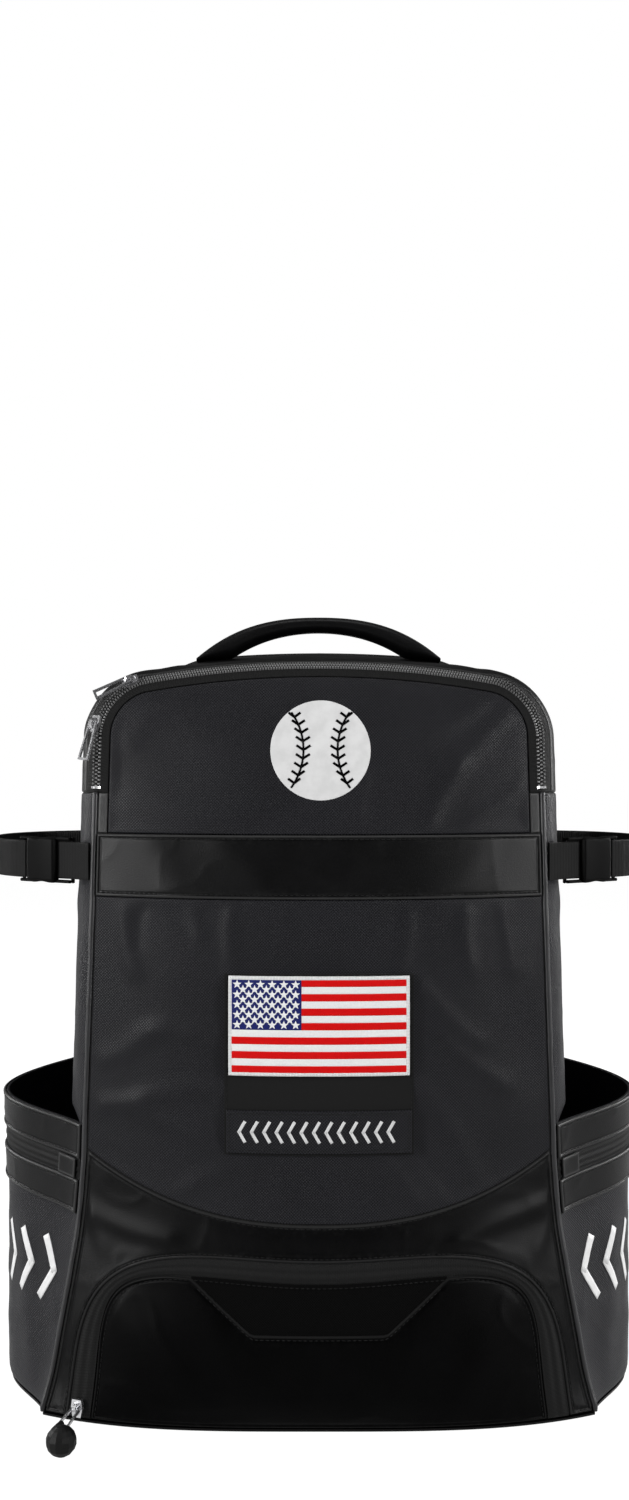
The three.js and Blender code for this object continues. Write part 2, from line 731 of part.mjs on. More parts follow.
// The base: one flat sheet under every wall.
function baseOutline() {
  const steps = 12;
  const edge = (from, to, pointAt) =>
    Array.from({ length: steps }, (_, i) => pointAt(mix(from, to, i / steps)));
  const points = [
    ...edge(-1, 1, (share) => frontPoint(share * BASE_HALF_WIDTH, 0)),
    ...edge(0, 1, (depth) => pocketPoint(1, depth, 0)),
    pocketPoint(1, 1, 0),
    ...edge(1, 0, (depth) => pocketPoint(-1, depth, 0)),
  ];
  return points.map(({ x, y }) => new THREE.Vector2(x, y));
}

piece(
  "base_panel",
  new THREE.ExtrudeGeometry(new THREE.Shape(baseOutline()), { depth: CLOTH, bevelEnabled: false }),
  leather,
);

// Bat sleeves: the outer wall, the floor the bats stand on, and the bands and zip sewn on outside.
// The wall's rows lie at the edges of the bands, so that the bands follow its faces.
const POCKET_START = 0.021;
const POCKET_END = 0.978;
const POCKET_COLUMNS = 16;
const bandStops = Array.from({ length: POCKET_COLUMNS - 1 }, (_, i) =>
  mix(POCKET_START + SKIN_TRIM, POCKET_END - SKIN_TRIM, i / (POCKET_COLUMNS - 2)),
);
const wallStops = [POCKET_START, ...bandStops, POCKET_END];
const bandTop = (depth) => pocketTop(depth);
const zipTop = (depth) => bandTop(depth) - UPPER_BAND_HEIGHT;
const zipFoot = (depth) => zipTop(depth) - POCKET_ZIP_HEIGHT;
const bandFoot = (depth) => zipFoot(depth) - LOWER_BAND_HEIGHT;
const pocketRows = (depth) => [
  WALL_FOOT,
  bandFoot(depth) / 2,
  bandFoot(depth),
  zipFoot(depth),
  zipTop(depth),
  bandTop(depth),
];

function pocketStrip(side, heights, stops) {
  return (u, v) => {
    const depth = atStops(stops, u);
    return pocketPoint(side, depth, atStops(heights(depth), v));
  };
}

function pocketNormal(side) {
  return (point) => {
    const span = backY(point.z) - frontY(seamHalfWidth(point.z), point.z);
    const depth = (point.y - frontY(seamHalfWidth(point.z), point.z)) / span;
    const surface = (u, v) => pocketPoint(side, depth + u, point.z + POCKET_HEIGHT * v);
    return surfaceNormal(surface, 0, 0);
  };
}

function pocketFloor(side) {
  const station = side * sideStation(POCKET_FLOOR);
  const top = gussetPoint(station, 1).z - 2 * GAP;
  const at = (z) => (u, v) => {
    const depth = mix(POCKET_FLOOR_START, POCKET_FLOOR_END, u);
    const inside = gussetPoint(station, depth);
    const outside = pocketPoint(side, depth, z);
    const x = side * mix(Math.abs(inside.x) - CLOTH, Math.abs(outside.x) - 2 * CLOTH, v);
    return vector(x, mix(inside.y, outside.y, v), z);
  };
  return slab(at(top), at(top - CLOTH), 10, 1);
}

for (const { name, side } of SIDES) {
  const normalAt = pocketNormal(side);
  const sleeve = pocketStrip(side, pocketRows, wallStops);
  piece("bat_pocket_" + name, wall(sleeve, POCKET_COLUMNS, 5, { normalAt }), fabric);
  const columns = bandStops.length - 1;
  const skin = { lift: GAP + SKIN, thickness: SKIN, normalAt };
  const between = (low, high) => (depth) => [low(depth) + GAP / 2, high(depth) - GAP / 2];
  const upper = pocketStrip(side, between(zipTop, bandTop), bandStops);
  piece("pocket_upper_band_" + name, wall(upper, columns, 1, skin), leather);
  const lower = pocketStrip(side, between(bandFoot, zipFoot), bandStops);
  piece("pocket_lower_band_" + name, wall(lower, columns, 1, skin), leather);
  const zip = pocketStrip(side, between(zipFoot, zipTop), bandStops);
  const tape = { lift: GAP + ZIP_SKIN, thickness: ZIP_SKIN, normalAt };
  piece("pocket_zip_" + name, wall(zip, columns, 1, tape), zipTape);
  const garageStart = POCKET_START + SKIN_TRIM + GARAGE_INSET / POCKET_WALL_RUN;
  const garageHeights = (depth) => [zipFoot(depth) + 2 * GAP, zipTop(depth) - 2 * GAP];
  const garage = (u, v) => {
    const depth = garageStart + (GARAGE_LENGTH * u) / POCKET_WALL_RUN;
    return pocketPoint(side, depth, atStops(garageHeights(depth), v));
  };
  const garageSkin = { lift: 3 * GAP + ZIP_SKIN + SKIN, thickness: SKIN, normalAt };
  piece("pocket_zip_garage_" + name, wall(garage, 3, 1, garageSkin), leather);
  piece("pocket_floor_" + name, pocketFloor(side), fabric);
}

// Patches on the front: a field of loop tape, the flag patch and a plain patch under it.
function patch({ halfWidth, bottom, top, thickness }, under, columns, rows) {
  const surface = (u, v) => frontPoint(mix(-halfWidth, halfWidth, u), mix(bottom, top, v));
  return frontWall(surface, columns, rows, { lift: under + GAP + thickness, thickness });
}

piece("patch_field", patch(FIELD, 0, 8, 6), webbing);
piece("flag_patch", patch(FLAG, GAP + FIELD.thickness, 8, 4), flagThread);
piece("lower_patch", patch(LOWER_PATCH, GAP + FIELD.thickness, 8, 2), fabric);

// Bat straps: a short front webbing, a side-release buckle, and the webbing that goes round the bats.
function batStrapPoint(side, out, depth) {
  const seam = seamHalfWidth(BAT_STRAP_HEIGHT);
  const front = frontY(seam, BAT_STRAP_HEIGHT) + PIPING_RADIUS;
  const start = seam + PIPING_CLEAR + WEBBING_THICKNESS / 2;
  const x = mix(start, BAT_STRAP_REACH, out);
  return vector(side * x, mix(front, backY(BAT_STRAP_HEIGHT), depth), BAT_STRAP_HEIGHT);
}

function batStrapCurve(side) {
  const points = BAT_STRAP_LINE.map(({ out, depth }) => batStrapPoint(side, out, depth));
  return new THREE.CatmullRomCurve3(points, false, "centripetal");
}

function curvePart(curve, from, to, steps) {
  return Array.from({ length: steps + 1 }, (_, i) => curve.getPointAt(mix(from, to, i / steps)));
}

// The buckle's face seen flat: pinched where its side prongs are pressed, with a webbing slot at
// each end.
function buckleGeometry() {
  const l = BUCKLE_LENGTH / 2;
  const w = BUCKLE_WIDTH / 2;
  const face = new THREE.Shape();
  face.moveTo(-l, -w * 0.86);
  face.quadraticCurveTo(-l, -w, -l * 0.8, -w);
  face.lineTo(-l * 0.2, -w);
  face.quadraticCurveTo(l * 0.15, -w * 0.84, l * 0.5, -w);
  face.quadraticCurveTo(l, -w, l, -w * 0.7);
  face.lineTo(l, w * 0.7);
  face.quadraticCurveTo(l, w, l * 0.5, w);
  face.quadraticCurveTo(l * 0.15, w * 0.84, -l * 0.2, w);
  face.lineTo(-l * 0.8, w);
  face.quadraticCurveTo(-l, w, -l, w * 0.86);
  const slot = (end) => {
    const half = WEBBING_WIDTH / 2 + GAP;
    const near = end * (l - BUCKLE_RIM);
    const far = near - end * 1.6 * WEBBING_THICKNESS;
    const hole = new THREE.Path();
    hole.moveTo(near, -half);
    hole.lineTo(near, half);
    hole.lineTo(far, half - GAP);
    hole.lineTo(far, GAP - half);
    return hole;
  };
  face.holes.push(slot(-1), slot(1));
  const block = new THREE.ExtrudeGeometry(face, {
    depth: BUCKLE_THICKNESS,
    bevelEnabled: false,
    curveSegments: 4,
  });
  return block.translate(0, 0, -BUCKLE_THICKNESS / 2);
}

// Turns a piece whose length is local x, width local y and front local z onto the given directions.
function place(made, centre, along, across) {
  const out = vector(0, 0, 0).crossVectors(along, across);
  made.quaternion.setFromRotationMatrix(new THREE.Matrix4().makeBasis(along, across, out));
  made.position.copy(centre);
}

for (const { name, side } of SIDES) {
  const curve = batStrapCurve(side);
  const length = curve.getLength();
  const lengthAt = (out) => {
    let t = 0;
    const step = 0.002;
    while (t < 1 && Math.abs(curve.getPointAt(t).x) < Math.abs(batStrapPoint(side, out, 0).x)) {
      t += step;
    }
    return t;
  };
  const from = lengthAt(BUCKLE_START);
  const to = from + BUCKLE_LENGTH / length;
  const up = vector(0, 0, 1);
  const section = strapSection(WEBBING_WIDTH, WEBBING_THICKNESS);
  const space = (2 * GAP) / length;
  piece(
    "bat_strap_front_" + name,
    sweep(stationsAlong(curvePart(curve, 0, from - GAP / length, 4), up), section),
    webbing,
  );
  piece(
    "bat_strap_rear_" + name,
    sweep(stationsAlong(curvePart(curve, to + space, 1, 18), up), section),
    webbing,
  );
  const first = curve.getPointAt(from);
  const last = curve.getPointAt(to);
  const along = last.clone().sub(first).normalize();
  const buckle = piece("bat_buckle_" + name, buckleGeometry(), plastic);
  const middle = first.clone().lerp(last, 0.5);
  place(buckle, middle, along, up);
}

// The haul handle: a padded arch of webbing whose ends run out flat on the top panel.
function topHeight(x, depth) {
  let low = 0;
  let high = CORNER_SHARE;
  for (let i = 0; i < 40; i++) {
    const middle = (low + high) / 2;
    if (gussetPoint(middle, depth).x < Math.abs(x)) low = middle;
    else high = middle;
  }
  return gussetPoint(low, depth).z;
}

function haulHandle() {
  const steps = 22;
  const y = gussetPoint(0, HANDLE_DEPTH_SHARE).y;
  const spread = depthShare(0, HANDLE_FOOT_SHARE * HANDLE_WIDTH);
  const stations = Array.from({ length: steps + 1 }, (_, i) => {
    const t = Math.sin(Math.PI * (i / steps - 0.5));
    const x = HANDLE_HALF_SPAN * t;
    const floor = GAP / 2 + Math.max(
      topHeight(x, HANDLE_DEPTH_SHARE - spread),
      topHeight(x, HANDLE_DEPTH_SHARE + spread),
    );
    const outside = mix(HANDLE_TOP, floor + HANDLE_END_THICKNESS, Math.pow(Math.abs(t), HANDLE_POWER));
    const arch = Math.min(1, Math.abs(x) / HANDLE_INNER_HALF_SPAN);
    const inside = Math.max(floor, mix(HANDLE_TOP - HANDLE_THICKNESS, floor, arch ** 2));
    const centre = vector(x, y, (outside + inside) / 2);
    const deep = (outside - inside) / HANDLE_THICKNESS;
    return { centre, across: vector(0, 1, 0), out: vector(0, 0, 1), deep };
  });
  return sweep(stations, ring(HANDLE_WIDTH / 2, HANDLE_THICKNESS / 2, 10));
}

piece("haul_handle", haulHandle(), webbing);

// Shoulder straps: padded, bowed off the back panel, each with a ladderlock and a lower webbing.
function strapPoint(side, t) {
  const z = mix(STRAP_TOP, STRAP_END, t);
  const spread = mix(STRAP_TOP_SPREAD, STRAP_END_SPREAD, t * t);
  const rest = backY(z) + BACK_PADDING / 2 + STRAP_THICKNESS / 2 + GAP;
  const bowAt = (share) => Math.sin(Math.PI * Math.min(1, BOW_START + BOW_RUN * share));
  return vector(side * spread, rest + STRAP_BOW * (bowAt(t) - bowAt(0)), z);
}

for (const { name, side } of SIDES) {
  const steps = 14;
  const points = Array.from({ length: steps + 1 }, (_, i) => strapPoint(side, i / steps));
  const stations = stationsAlong(points, vector(1, 0, 0));
  stations.forEach((station, i) => {
    const turn = Math.min(1, WIDE_START + (WIDE_RUN * i) / steps);
    station.wide = mix(STRAP_NARROW, 1, Math.sin(Math.PI * turn));
  });
  const padding = ring(STRAP_WIDTH / 2, STRAP_THICKNESS / 2, 10);
  piece("shoulder_strap_" + name, sweep(stations, padding), fabric);

  const end = points[steps];
  const down = end.clone().sub(points[steps - 1]).normalize();
  const anchor = vector(
    side * STRAP_ANCHOR_SPREAD,
    backY(STRAP_ANCHOR_HEIGHT) + BACK_PADDING / 2 + GAP + WEBBING_THICKNESS / 2,
    STRAP_ANCHOR_HEIGHT,
  );
  const lockStart = end.clone().addScaledVector(down, GAP);
  const lockEnd = lockStart.clone().addScaledVector(down, LADDERLOCK.length);
  const lock = piece("strap_ladderlock_" + name, ladderlockGeometry(), plastic);
  const sideways = vector(1, 0, 0).addScaledVector(down, -down.x).normalize();
  place(lock, lockStart.clone().lerp(lockEnd, 0.5), down, sideways);
  const webStart = lockEnd.clone().addScaledVector(down, 2 * GAP);
  const leave = webStart.clone().addScaledVector(down, WEB_LEAD);
  const line = new THREE.CubicBezierCurve3(
    leave,
    leave.clone().addScaledVector(down, WEB_SWING),
    anchor.clone().add(vector(0, WEB_LEAD, WEB_DROP)),
    anchor,
  );
  const web = stationsAlong([webStart, ...curvePart(line, 0, 1, 14)], vector(1, 0, 0));
  piece("strap_webbing_" + name, sweep(web, strapSection(WEBBING_WIDTH, WEBBING_THICKNESS)), webbing);
}

// A ladderlock: a frame with two crossbars that the webbing threads.
function ladderlockGeometry() {
  const { length, rim, bar, thickness } = LADDERLOCK;
  const l = length / 2;
  const w = WEBBING_WIDTH / 2 + rim;
  const frame = new THREE.Shape();
  frame.moveTo(-l, -w);
  frame.lineTo(l, -w);
  frame.lineTo(l, w);
  frame.lineTo(-l, w);
  for (const end of [-1, 1]) {
    const far = end * (l - bar);
    const near = end * (bar / 2);
    const hole = new THREE.Path();
    hole.moveTo(near, -w + bar + GAP);
    hole.lineTo(near, w - bar - GAP);
    hole.lineTo(far, w - bar);
    hole.lineTo(far, -w + bar);
    frame.holes.push(hole);
  }
  const block = new THREE.ExtrudeGeometry(frame, { depth: thickness, bevelEnabled: false });
  return block.translate(0, 0, -thickness / 2);
}

// A zip slider: a body with a narrow bridge over it, and the pull's wire through the bridge.
function sliderGeometry() {
  const l = SLIDER.length / 2;
  const w = SLIDER.width / 2;
  const plan = new THREE.Shape();
  plan.moveTo(-l, -w * 0.7);
  plan.lineTo(0, -w);
  plan.lineTo(l, -w * 0.8);
  plan.lineTo(l, w * 0.8);
  plan.lineTo(0, w);
  plan.lineTo(-l, w * 0.7);
  const body = new THREE.ExtrudeGeometry(plan, { depth: SLIDER.height, bevelEnabled: false });
  const high = SLIDER.height + SLIDER.bridge;
  const side = new THREE.Shape();
  side.moveTo(-l * 0.8, SLIDER.height * 0.5);
  side.lineTo(l * 0.8, SLIDER.height * 0.5);
  side.lineTo(l * 0.62, high * 0.86);
  side.lineTo(l * 0.3, high + SLIDER.roof);
  side.lineTo(-l * 0.3, high + SLIDER.roof);
  side.lineTo(-l * 0.62, high * 0.86);
  const hole = new THREE.Path();
  hole.moveTo(-l * 0.4, SLIDER.height + SLIDER.clear);
  hole.lineTo(-l * 0.3, high);
  hole.lineTo(l * 0.3, high);
  hole.lineTo(l * 0.4, SLIDER.height + SLIDER.clear);
  side.holes.push(hole);
  const bridge = new THREE.ExtrudeGeometry(side, { depth: SLIDER.bar, bevelEnabled: false });
  bridge.translate(0, 0, -SLIDER.bar / 2).rotateX(Math.PI / 2);
  return joined(body, bridge);
}

// A wire pull: a closed loop whose near end passes through the slider's bridge.
function pullGeometry(length) {
  const w = PULL_WIDTH / 2;
  const outline = (grow) => {
    const half = w + grow;
    const nose = half * 0.72;
    const path = new THREE.Path();
    path.moveTo(-grow, -nose);
    path.lineTo(length + grow, -half);
    path.lineTo(length + grow, half);
    path.lineTo(-grow, nose);
    return path.getPoints();
  };
  const loop = new THREE.Shape(outline(PULL_WIRE / 2));
  loop.holes.push(new THREE.Path(outline(-PULL_WIRE / 2)));
  const wire = new THREE.ExtrudeGeometry(loop, { depth: PULL_WIRE, bevelEnabled: false });
  return wire.translate(0, 0, -PULL_WIRE / 2);
}

// Puts a slider on a point of a zip and its pull through the bridge, lying in the pull direction.
function addSlider(label, foot, along, out, pullDirection) {
  const across = vector(0, 0, 0).crossVectors(out, along).normalize();
  const slider = piece(label + "_slider", sliderGeometry(), metal);
  place(slider, foot, along, across);
  const eye = foot.clone().addScaledVector(out, SLIDER.height + SLIDER.bridge / 2);
  const pull = piece(label + "_pull", pullGeometry(PULL_LENGTH), metal);
  const flat = pullDirection.clone().normalize();
  const sideways = across.clone().addScaledVector(flat, -across.dot(flat)).normalize();
  place(pull, eye, flat, sideways);
  return { eye, flat };
}

// Two sliders parked on the left shoulder of the main zip.
[
  { label: "main_zip_lower", s: -0.325 },
  { label: "main_zip_upper", s: -0.262 },
].forEach(({ label, s }) => {
  const u = (s / zipStation + 1) / 2;
  const v = SLIDER_PLACE;
  const step = 0.01;
  const point = mainZip(u, v);
  const along = mainZip(u + step, v).sub(mainZip(u - step, v)).normalize();
  const across = mainZip(u, v + step).sub(mainZip(u, v - step)).normalize();
  const out = vector(0, 0, 0).crossVectors(along, across).normalize();
  if (out.z < 0) out.negate();
  const foot = point.addScaledVector(out, GAP);
  addSlider(label, foot, along, out, along.clone().negate());
});

// The shoe zip's slider at the foot of the left leg, with a ball pull that lies on the ground.
function addShoePull() {
  const x = (innerArch(SHOE_SLIDER_TURN).x + outerArch(SHOE_SLIDER_TURN).x) / 2;
  const z = WALL_FOOT + SLIDER.length / 2 + SHOE_SLIDER_CLEAR;
  const face = frontPoint(x, z);
  const out = frontNormal(face).setZ(0).normalize();
  const foot = face.addScaledVector(out, ZIP_RAISE + 2 * GAP);
  const drop = (foot.z - 2 * PULL_WIRE) / PULL_LENGTH;
  const lie = out.clone().multiplyScalar(Math.sqrt(1 - drop * drop)).setZ(-drop);
  const { eye, flat } = addSlider("shoe_zip", foot, vector(0, 0, 1), out, lie);
  piece("ball_pull", ballPull(eye.clone().addScaledVector(flat, PULL_LENGTH), flat), rubber);
}

// A moulded ball on a stem that lies over the far end of the wire loop and bends round to the right.
function ballPull(far, flat) {
  const heading = vector(flat.x, flat.y, 0).normalize();
  const height = far.z + STEM_RADIUS + PULL_WIRE;
  const start = far.clone().addScaledVector(heading, -STEM_LAP * PULL_LENGTH);
  start.z = height + STEM_RADIUS / 2;
  const bend = far.clone().addScaledVector(heading, STEM_RADIUS).setZ(height);
  const turn = vector(STEM_HEADING.x, STEM_HEADING.y, 0);
  const ball = bend.clone().addScaledVector(turn, STEM_LENGTH + BALL_RADIUS);
  ball.z = BALL_RADIUS;
  const line = new THREE.CatmullRomCurve3([start, bend, ball]);
  const stem = sweep(
    stationsAlong(curvePart(line, 0, 1, 8), vector(0, 0, 1)),
    ring(STEM_RADIUS, STEM_RADIUS, 8),
  );
  const sphere = new THREE.SphereGeometry(BALL_RADIUS, 14, 9).rotateX(Math.PI / 2);
  sphere.translate(ball.x, ball.y, ball.z);
  return joined(stem, sphere);
}

addShoePull();

export default bag;
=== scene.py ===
# A baseball bat backpack: every cloth piece is remade as a fine mesh with folds, seams and
# stitches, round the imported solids. Shapes are worked out in millimetres and written in metres.
import json
import math
import bpy
import numpy as np
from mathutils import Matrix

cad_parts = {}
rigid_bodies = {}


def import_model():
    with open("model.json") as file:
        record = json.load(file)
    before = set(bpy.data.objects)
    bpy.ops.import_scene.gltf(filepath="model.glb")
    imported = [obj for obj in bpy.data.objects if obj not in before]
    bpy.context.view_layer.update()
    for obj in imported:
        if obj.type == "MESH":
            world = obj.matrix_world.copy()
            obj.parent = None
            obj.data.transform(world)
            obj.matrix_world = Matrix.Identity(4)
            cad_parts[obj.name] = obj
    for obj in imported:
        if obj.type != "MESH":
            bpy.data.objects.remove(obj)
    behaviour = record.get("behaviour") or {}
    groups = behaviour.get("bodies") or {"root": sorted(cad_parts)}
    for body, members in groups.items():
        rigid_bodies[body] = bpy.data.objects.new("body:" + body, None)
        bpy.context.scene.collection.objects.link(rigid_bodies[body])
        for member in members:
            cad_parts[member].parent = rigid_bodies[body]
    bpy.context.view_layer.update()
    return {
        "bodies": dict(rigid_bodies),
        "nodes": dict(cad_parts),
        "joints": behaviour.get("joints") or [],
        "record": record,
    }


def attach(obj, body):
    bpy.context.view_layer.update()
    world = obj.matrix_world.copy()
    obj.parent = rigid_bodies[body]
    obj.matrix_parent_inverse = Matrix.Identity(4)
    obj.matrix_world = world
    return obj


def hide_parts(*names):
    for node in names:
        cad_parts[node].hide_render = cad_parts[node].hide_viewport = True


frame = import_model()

MM = 0.001

# Sizes of the bag, the same as the solids have.
CLOTH = 2.0
SKIN = 1.4
GAP = 0.4
PIPING_RADIUS = 1.8
FRONT_HEIGHT = 476.0
FRONT_ARCH_RISE = 16.0
FRONT_CORNER_RADIUS = 32.0
TOP_HALF_WIDTH = 142.5
BASE_HALF_WIDTH = 176.0
FRONT_REACH = 133.0
FRONT_CROWN = 44.0
BACK_HEIGHT = 490.0
BACK_ARCH_RISE = 10.0
BACK_CORNER_RADIUS = 58.0
BACK_TOP_HALF_WIDTH = 134.0
BACK_BASE_HALF_WIDTH = 150.0
BACK_REACH = 88.0
BACK_LEAN = 7.0
BACK_PADDING = 6.0
SIDE_BULGE = 12.0
POCKET_HEIGHT = 179.5
POCKET_TOP_RISE = 20.0
POCKET_OUTER_HALF_WIDTH = 214.0
POCKET_BASE_HALF_WIDTH = 209.0
POCKET_FRONT_ROUNDNESS = 1.4
POCKET_BACK_ROUNDNESS = 0.8
POCKET_FLOOR = 72.0
SLEEVE_ROOM = 8.0
SLEEVE_EASE = 12.0
UPPER_BAND_HEIGHT = 22.0
POCKET_ZIP_HEIGHT = 14.0
LOWER_BAND_HEIGHT = 21.0
GARAGE_LENGTH = 17.0
GARAGE_INSET = 1.0
SKIN_TRIM = 0.022
POCKET_START = 0.021
POCKET_END = 0.978
POCKET_WALL_RUN = 230.0
BAND_TOP = 367.0
BAND_HEIGHT = 39.5
BAND_BOTTOM = BAND_TOP - BAND_HEIGHT
BAND_RAISE = 0.6
YOKE_SEAM_SIDE = 166.0
YOKE_SEAM_MIDDLE = 128.0
YOKE_POWER = 2.4
MAIN_ZIP_END = 393.0
MAIN_ZIP_FRONT_WIDTH = 8.4
MAIN_ZIP_SIDE_WIDTH = 7.4
ARCH_HALF_WIDTH = 150.0
ARCH_HEIGHT = 109.0
FLAP_HALF_WIDTH = 136.0
FLAP_HEIGHT = 97.5
ARCH_SAG = 3.5
ARCH_SAG_REACH = 0.45
ARCH_FLARE = 0.05
VENT_TOP_HALF_WIDTH = 79.0
VENT_BOTTOM_HALF_WIDTH = 41.0
VENT_BOTTOM = 64.0
VENT_TIP_DROP = 2.2
OUTER_ARCH_POWER = 4.0
FLAP_ARCH_POWER = 6.0
EDGE_TURN = 0.56
FIELD = dict(half_width=58.5, bottom=170.0, top=282.0, thickness=1.0)
FLAG = dict(half_width=55.5, bottom=219.5, top=280.8, thickness=1.5)
LOWER_PATCH = dict(half_width=57.0, bottom=171.5, top=198.0, thickness=1.0)
WEBBING_WIDTH = 24.0
WEBBING_THICKNESS = 1.6
BAT_STRAP_HEIGHT = 349.0
BAT_STRAP_REACH = 223.0
BUCKLE_PLACE = 0.2
BUCKLE_LENGTH = 35.0
BUCKLE_WIDTH = 30.0
HANDLE_HALF_SPAN = 85.0
HANDLE_INNER_HALF_SPAN = 60.0
HANDLE_TOP = 513.0
HANDLE_THICKNESS = 11.0
HANDLE_END_THICKNESS = 3.0
HANDLE_WIDTH = 25.0
HANDLE_DEPTH_SHARE = 0.62
HANDLE_FOOT_SHARE = 0.3
HANDLE_POWER = 2.3
STRAP_WIDTH = 62.0
STRAP_THICKNESS = 11.0
STRAP_BOW = 46.0
BOW_START = 0.06
BOW_RUN = 0.8
STRAP_NARROW = 0.62
WIDE_START = 0.18
WIDE_RUN = 0.75
STRAP_TOP = 448.0
STRAP_END = 196.0
STRAP_TOP_SPREAD = 46.0
STRAP_END_SPREAD = 104.0
ARCH_SHARE = 0.24
CORNER_SHARE = 0.34
FOOT_LEAN = 0.6
WALL_FOOT = CLOTH + GAP + FOOT_LEAN
PIPING_CLEAR = PIPING_RADIUS + GAP
BASE_ROUND = 7.0

FRONT_SECTIONS = dict(
    height=(0.0, 0.052, 0.126, 0.2, 0.26, 0.335, 0.42, 0.55, 0.66, 0.77, 0.87, 0.94, 1.0),
    flare=(1.0, 0.8, 0.61, 0.42, 0.3, 0.215, 0.17, 0.1, 0.05, 0.02, 0.0, 0.0, 0.0),
    reach=(0.905, 0.972, 1.0, 0.965, 0.915, 0.89, 0.89, 0.895, 0.88, 0.84, 0.765, 0.66, 0.54),
    crown=(0.58, 0.9, 1.0, 0.93, 0.85, 0.78, 0.74, 0.73, 0.68, 0.62, 0.5, 0.36, 0.24),
    power=(3.4, 2.8, 2.4, 2.2, 2.2, 2.2, 2.2, 2.2, 2.2, 2.2, 2.2, 2.2, 2.2),
)
GUSSET_SECTIONS = dict(
    depth=(0.0, 0.06, 0.14, 0.28, 0.45, 0.75, 1.0),
    side=(0.0, 0.7, 1.0, 0.15, -0.5, -0.4, 0.0),
    sleeve=(0.0, 0.1, 0.1, -0.2, -0.5, -0.4, 0.0),
    top=(0.0, 0.08, 0.14, 0.2, 0.22, 0.16, 0.0),
)
BAT_STRAP_LINE = dict(
    out=(0.0, 0.16, 0.43, 0.68, 0.87, 0.975, 1.0, 0.93, 0.7, 0.36, 0.0),
    depth=(0.0, 0.052, 0.125, 0.2, 0.31, 0.44, 0.57, 0.72, 0.86, 0.95, 0.99),
)

# Folds of the front cloth, in millimetres: x and z of the start, x and z of the end, width and
# height. A negative height is a crease.
FRONT_FOLDS = [
    (52, 420, 102, 449, 7, 1.4),
    (70, 374, 86, 410, 6, 1.5),
    (86, 410, 124, 444, 7, 1.5),
    (96, 372, 131, 400, 6, 1.1),
    (25, 380, 28, 402, 4, 0.8),
    (-118, 384, -58, 380, 9, 1.0),
    (-120, 430, -95, 452, 8, 0.7),
    (-123, 322, -118, 284, 6, 1.5),
    (-110, 322, -114, 300, 4, -0.7),
    (-53, 324, -56, 286, 5, 1.2),
    (-78, 324, -76, 306, 5, 0.7),
    (-20, 324, -22, 303, 5, 0.5),
    (20, 324, 18, 302, 5, 0.5),
    (56, 324, 51, 286, 5, 1.2),
    (90, 324, 94, 287, 5, 1.4),
    (117, 322, 120, 284, 5, 1.3),
    (65, 270, 97, 240, 6, 1.3),
    (79, 240, 114, 210, 6, 1.4),
    (62, 214, 96, 156, 7, 1.3),
    (38, 166, 66, 133, 6, 1.2),
    (60, 176, 84, 142, 4, -0.6),
    (-62, 247, -102, 243, 7, 1.1),
    (-102, 243, -136, 226, 7, 1.0),
    (-60, 212, -112, 202, 7, 1.2),
    (-112, 202, -137, 194, 6, 1.0),
    (-60, 172, -106, 192, 6, 1.1),
    (-48, 165, -84, 146, 6, 0.9),
    (-20, 163, -30, 134, 7, 0.6),
]
LOWER_FOLDS = [
    (-148, 128, -95, 116, 6, 1.6),
    (-160, 150, -138, 110, 6, 0.9),
    (-60, 122, 62, 119, 7, 0.8),
    (88, 117, 150, 134, 6, 1.6),
    (140, 108, 163, 152, 6, 0.9),
    (154, 92, 162, 30, 5, 0.7),
    (-154, 92, -163, 30, 5, 0.7),
]
FLAP_FOLDS = [
    (-128, 84, -88, 34, 12, 1.3),
    (-60, 60, -30, 18, 12, 0.8),
    (128, 84, 92, 30, 12, 1.3),
    (62, 58, 34, 20, 12, 0.7),
    (-10, 56, 6, 12, 14, 0.7),
]
BAND_FOLDS = [
    (-112, 366, -86, 330, 12, 0.7),
    (-58, 364, -34, 332, 10, 0.7),
    (12, 332, 28, 362, 10, 0.6),
    (78, 332, 104, 364, 12, 0.6),
]


SIDES = (("left", -1), ("right", 1))


def mix(a, b, t):
    return a + (b - a) * t


def stack(x, y, z):
    return np.stack(np.broadcast_arrays(x, y, z), axis=-1).astype(float)


def unit(vectors):
    return vectors / np.maximum(np.linalg.norm(vectors, axis=-1, keepdims=True), 1e-9)


def hump(value, middle, width):
    """1 at the middle, falling away smoothly on both sides."""
    return np.exp(-((value - middle) / width) ** 2)


def smooth_step(low, high, value):
    t = np.clip((value - low) / (high - low), 0.0, 1.0)
    return t * t * (3 - 2 * t)


def run_along(path):
    """The distance along a path to each of its points."""
    return np.concatenate([[0], np.cumsum(np.linalg.norm(np.diff(path, axis=0), axis=1))])


def values_at(places, run, values):
    """Points or directions at places along a run, between those given at its own distances."""
    return np.stack([np.interp(places, run, values[:, k]) for k in range(3)], axis=-1)


def read_table(table, key, column, share):
    """One column of a table at a share between its rows, on the same cubic as the solids."""
    keys = np.array(table[key])
    values = np.array(table[column])
    last = len(keys) - 1
    above = np.minimum(np.arange(last + 1) + 1, last)
    below = np.maximum(np.arange(last + 1) - 1, 0)
    slopes = (values[above] - values[below]) / (keys[above] - keys[below])
    share = np.asarray(share, float)
    i = np.clip(np.searchsorted(keys, share, side="right") - 1, 0, last - 1)
    width = keys[i + 1] - keys[i]
    t = np.clip((share - keys[i]) / width, 0.0, 1.0)
    rise = t * t * (3 - 2 * t)
    leave = t * (1 - t) ** 2 * width
    arrive = t * t * (t - 1) * width
    return mix(values[i], values[i + 1], rise) + slopes[i] * leave + slopes[i + 1] * arrive


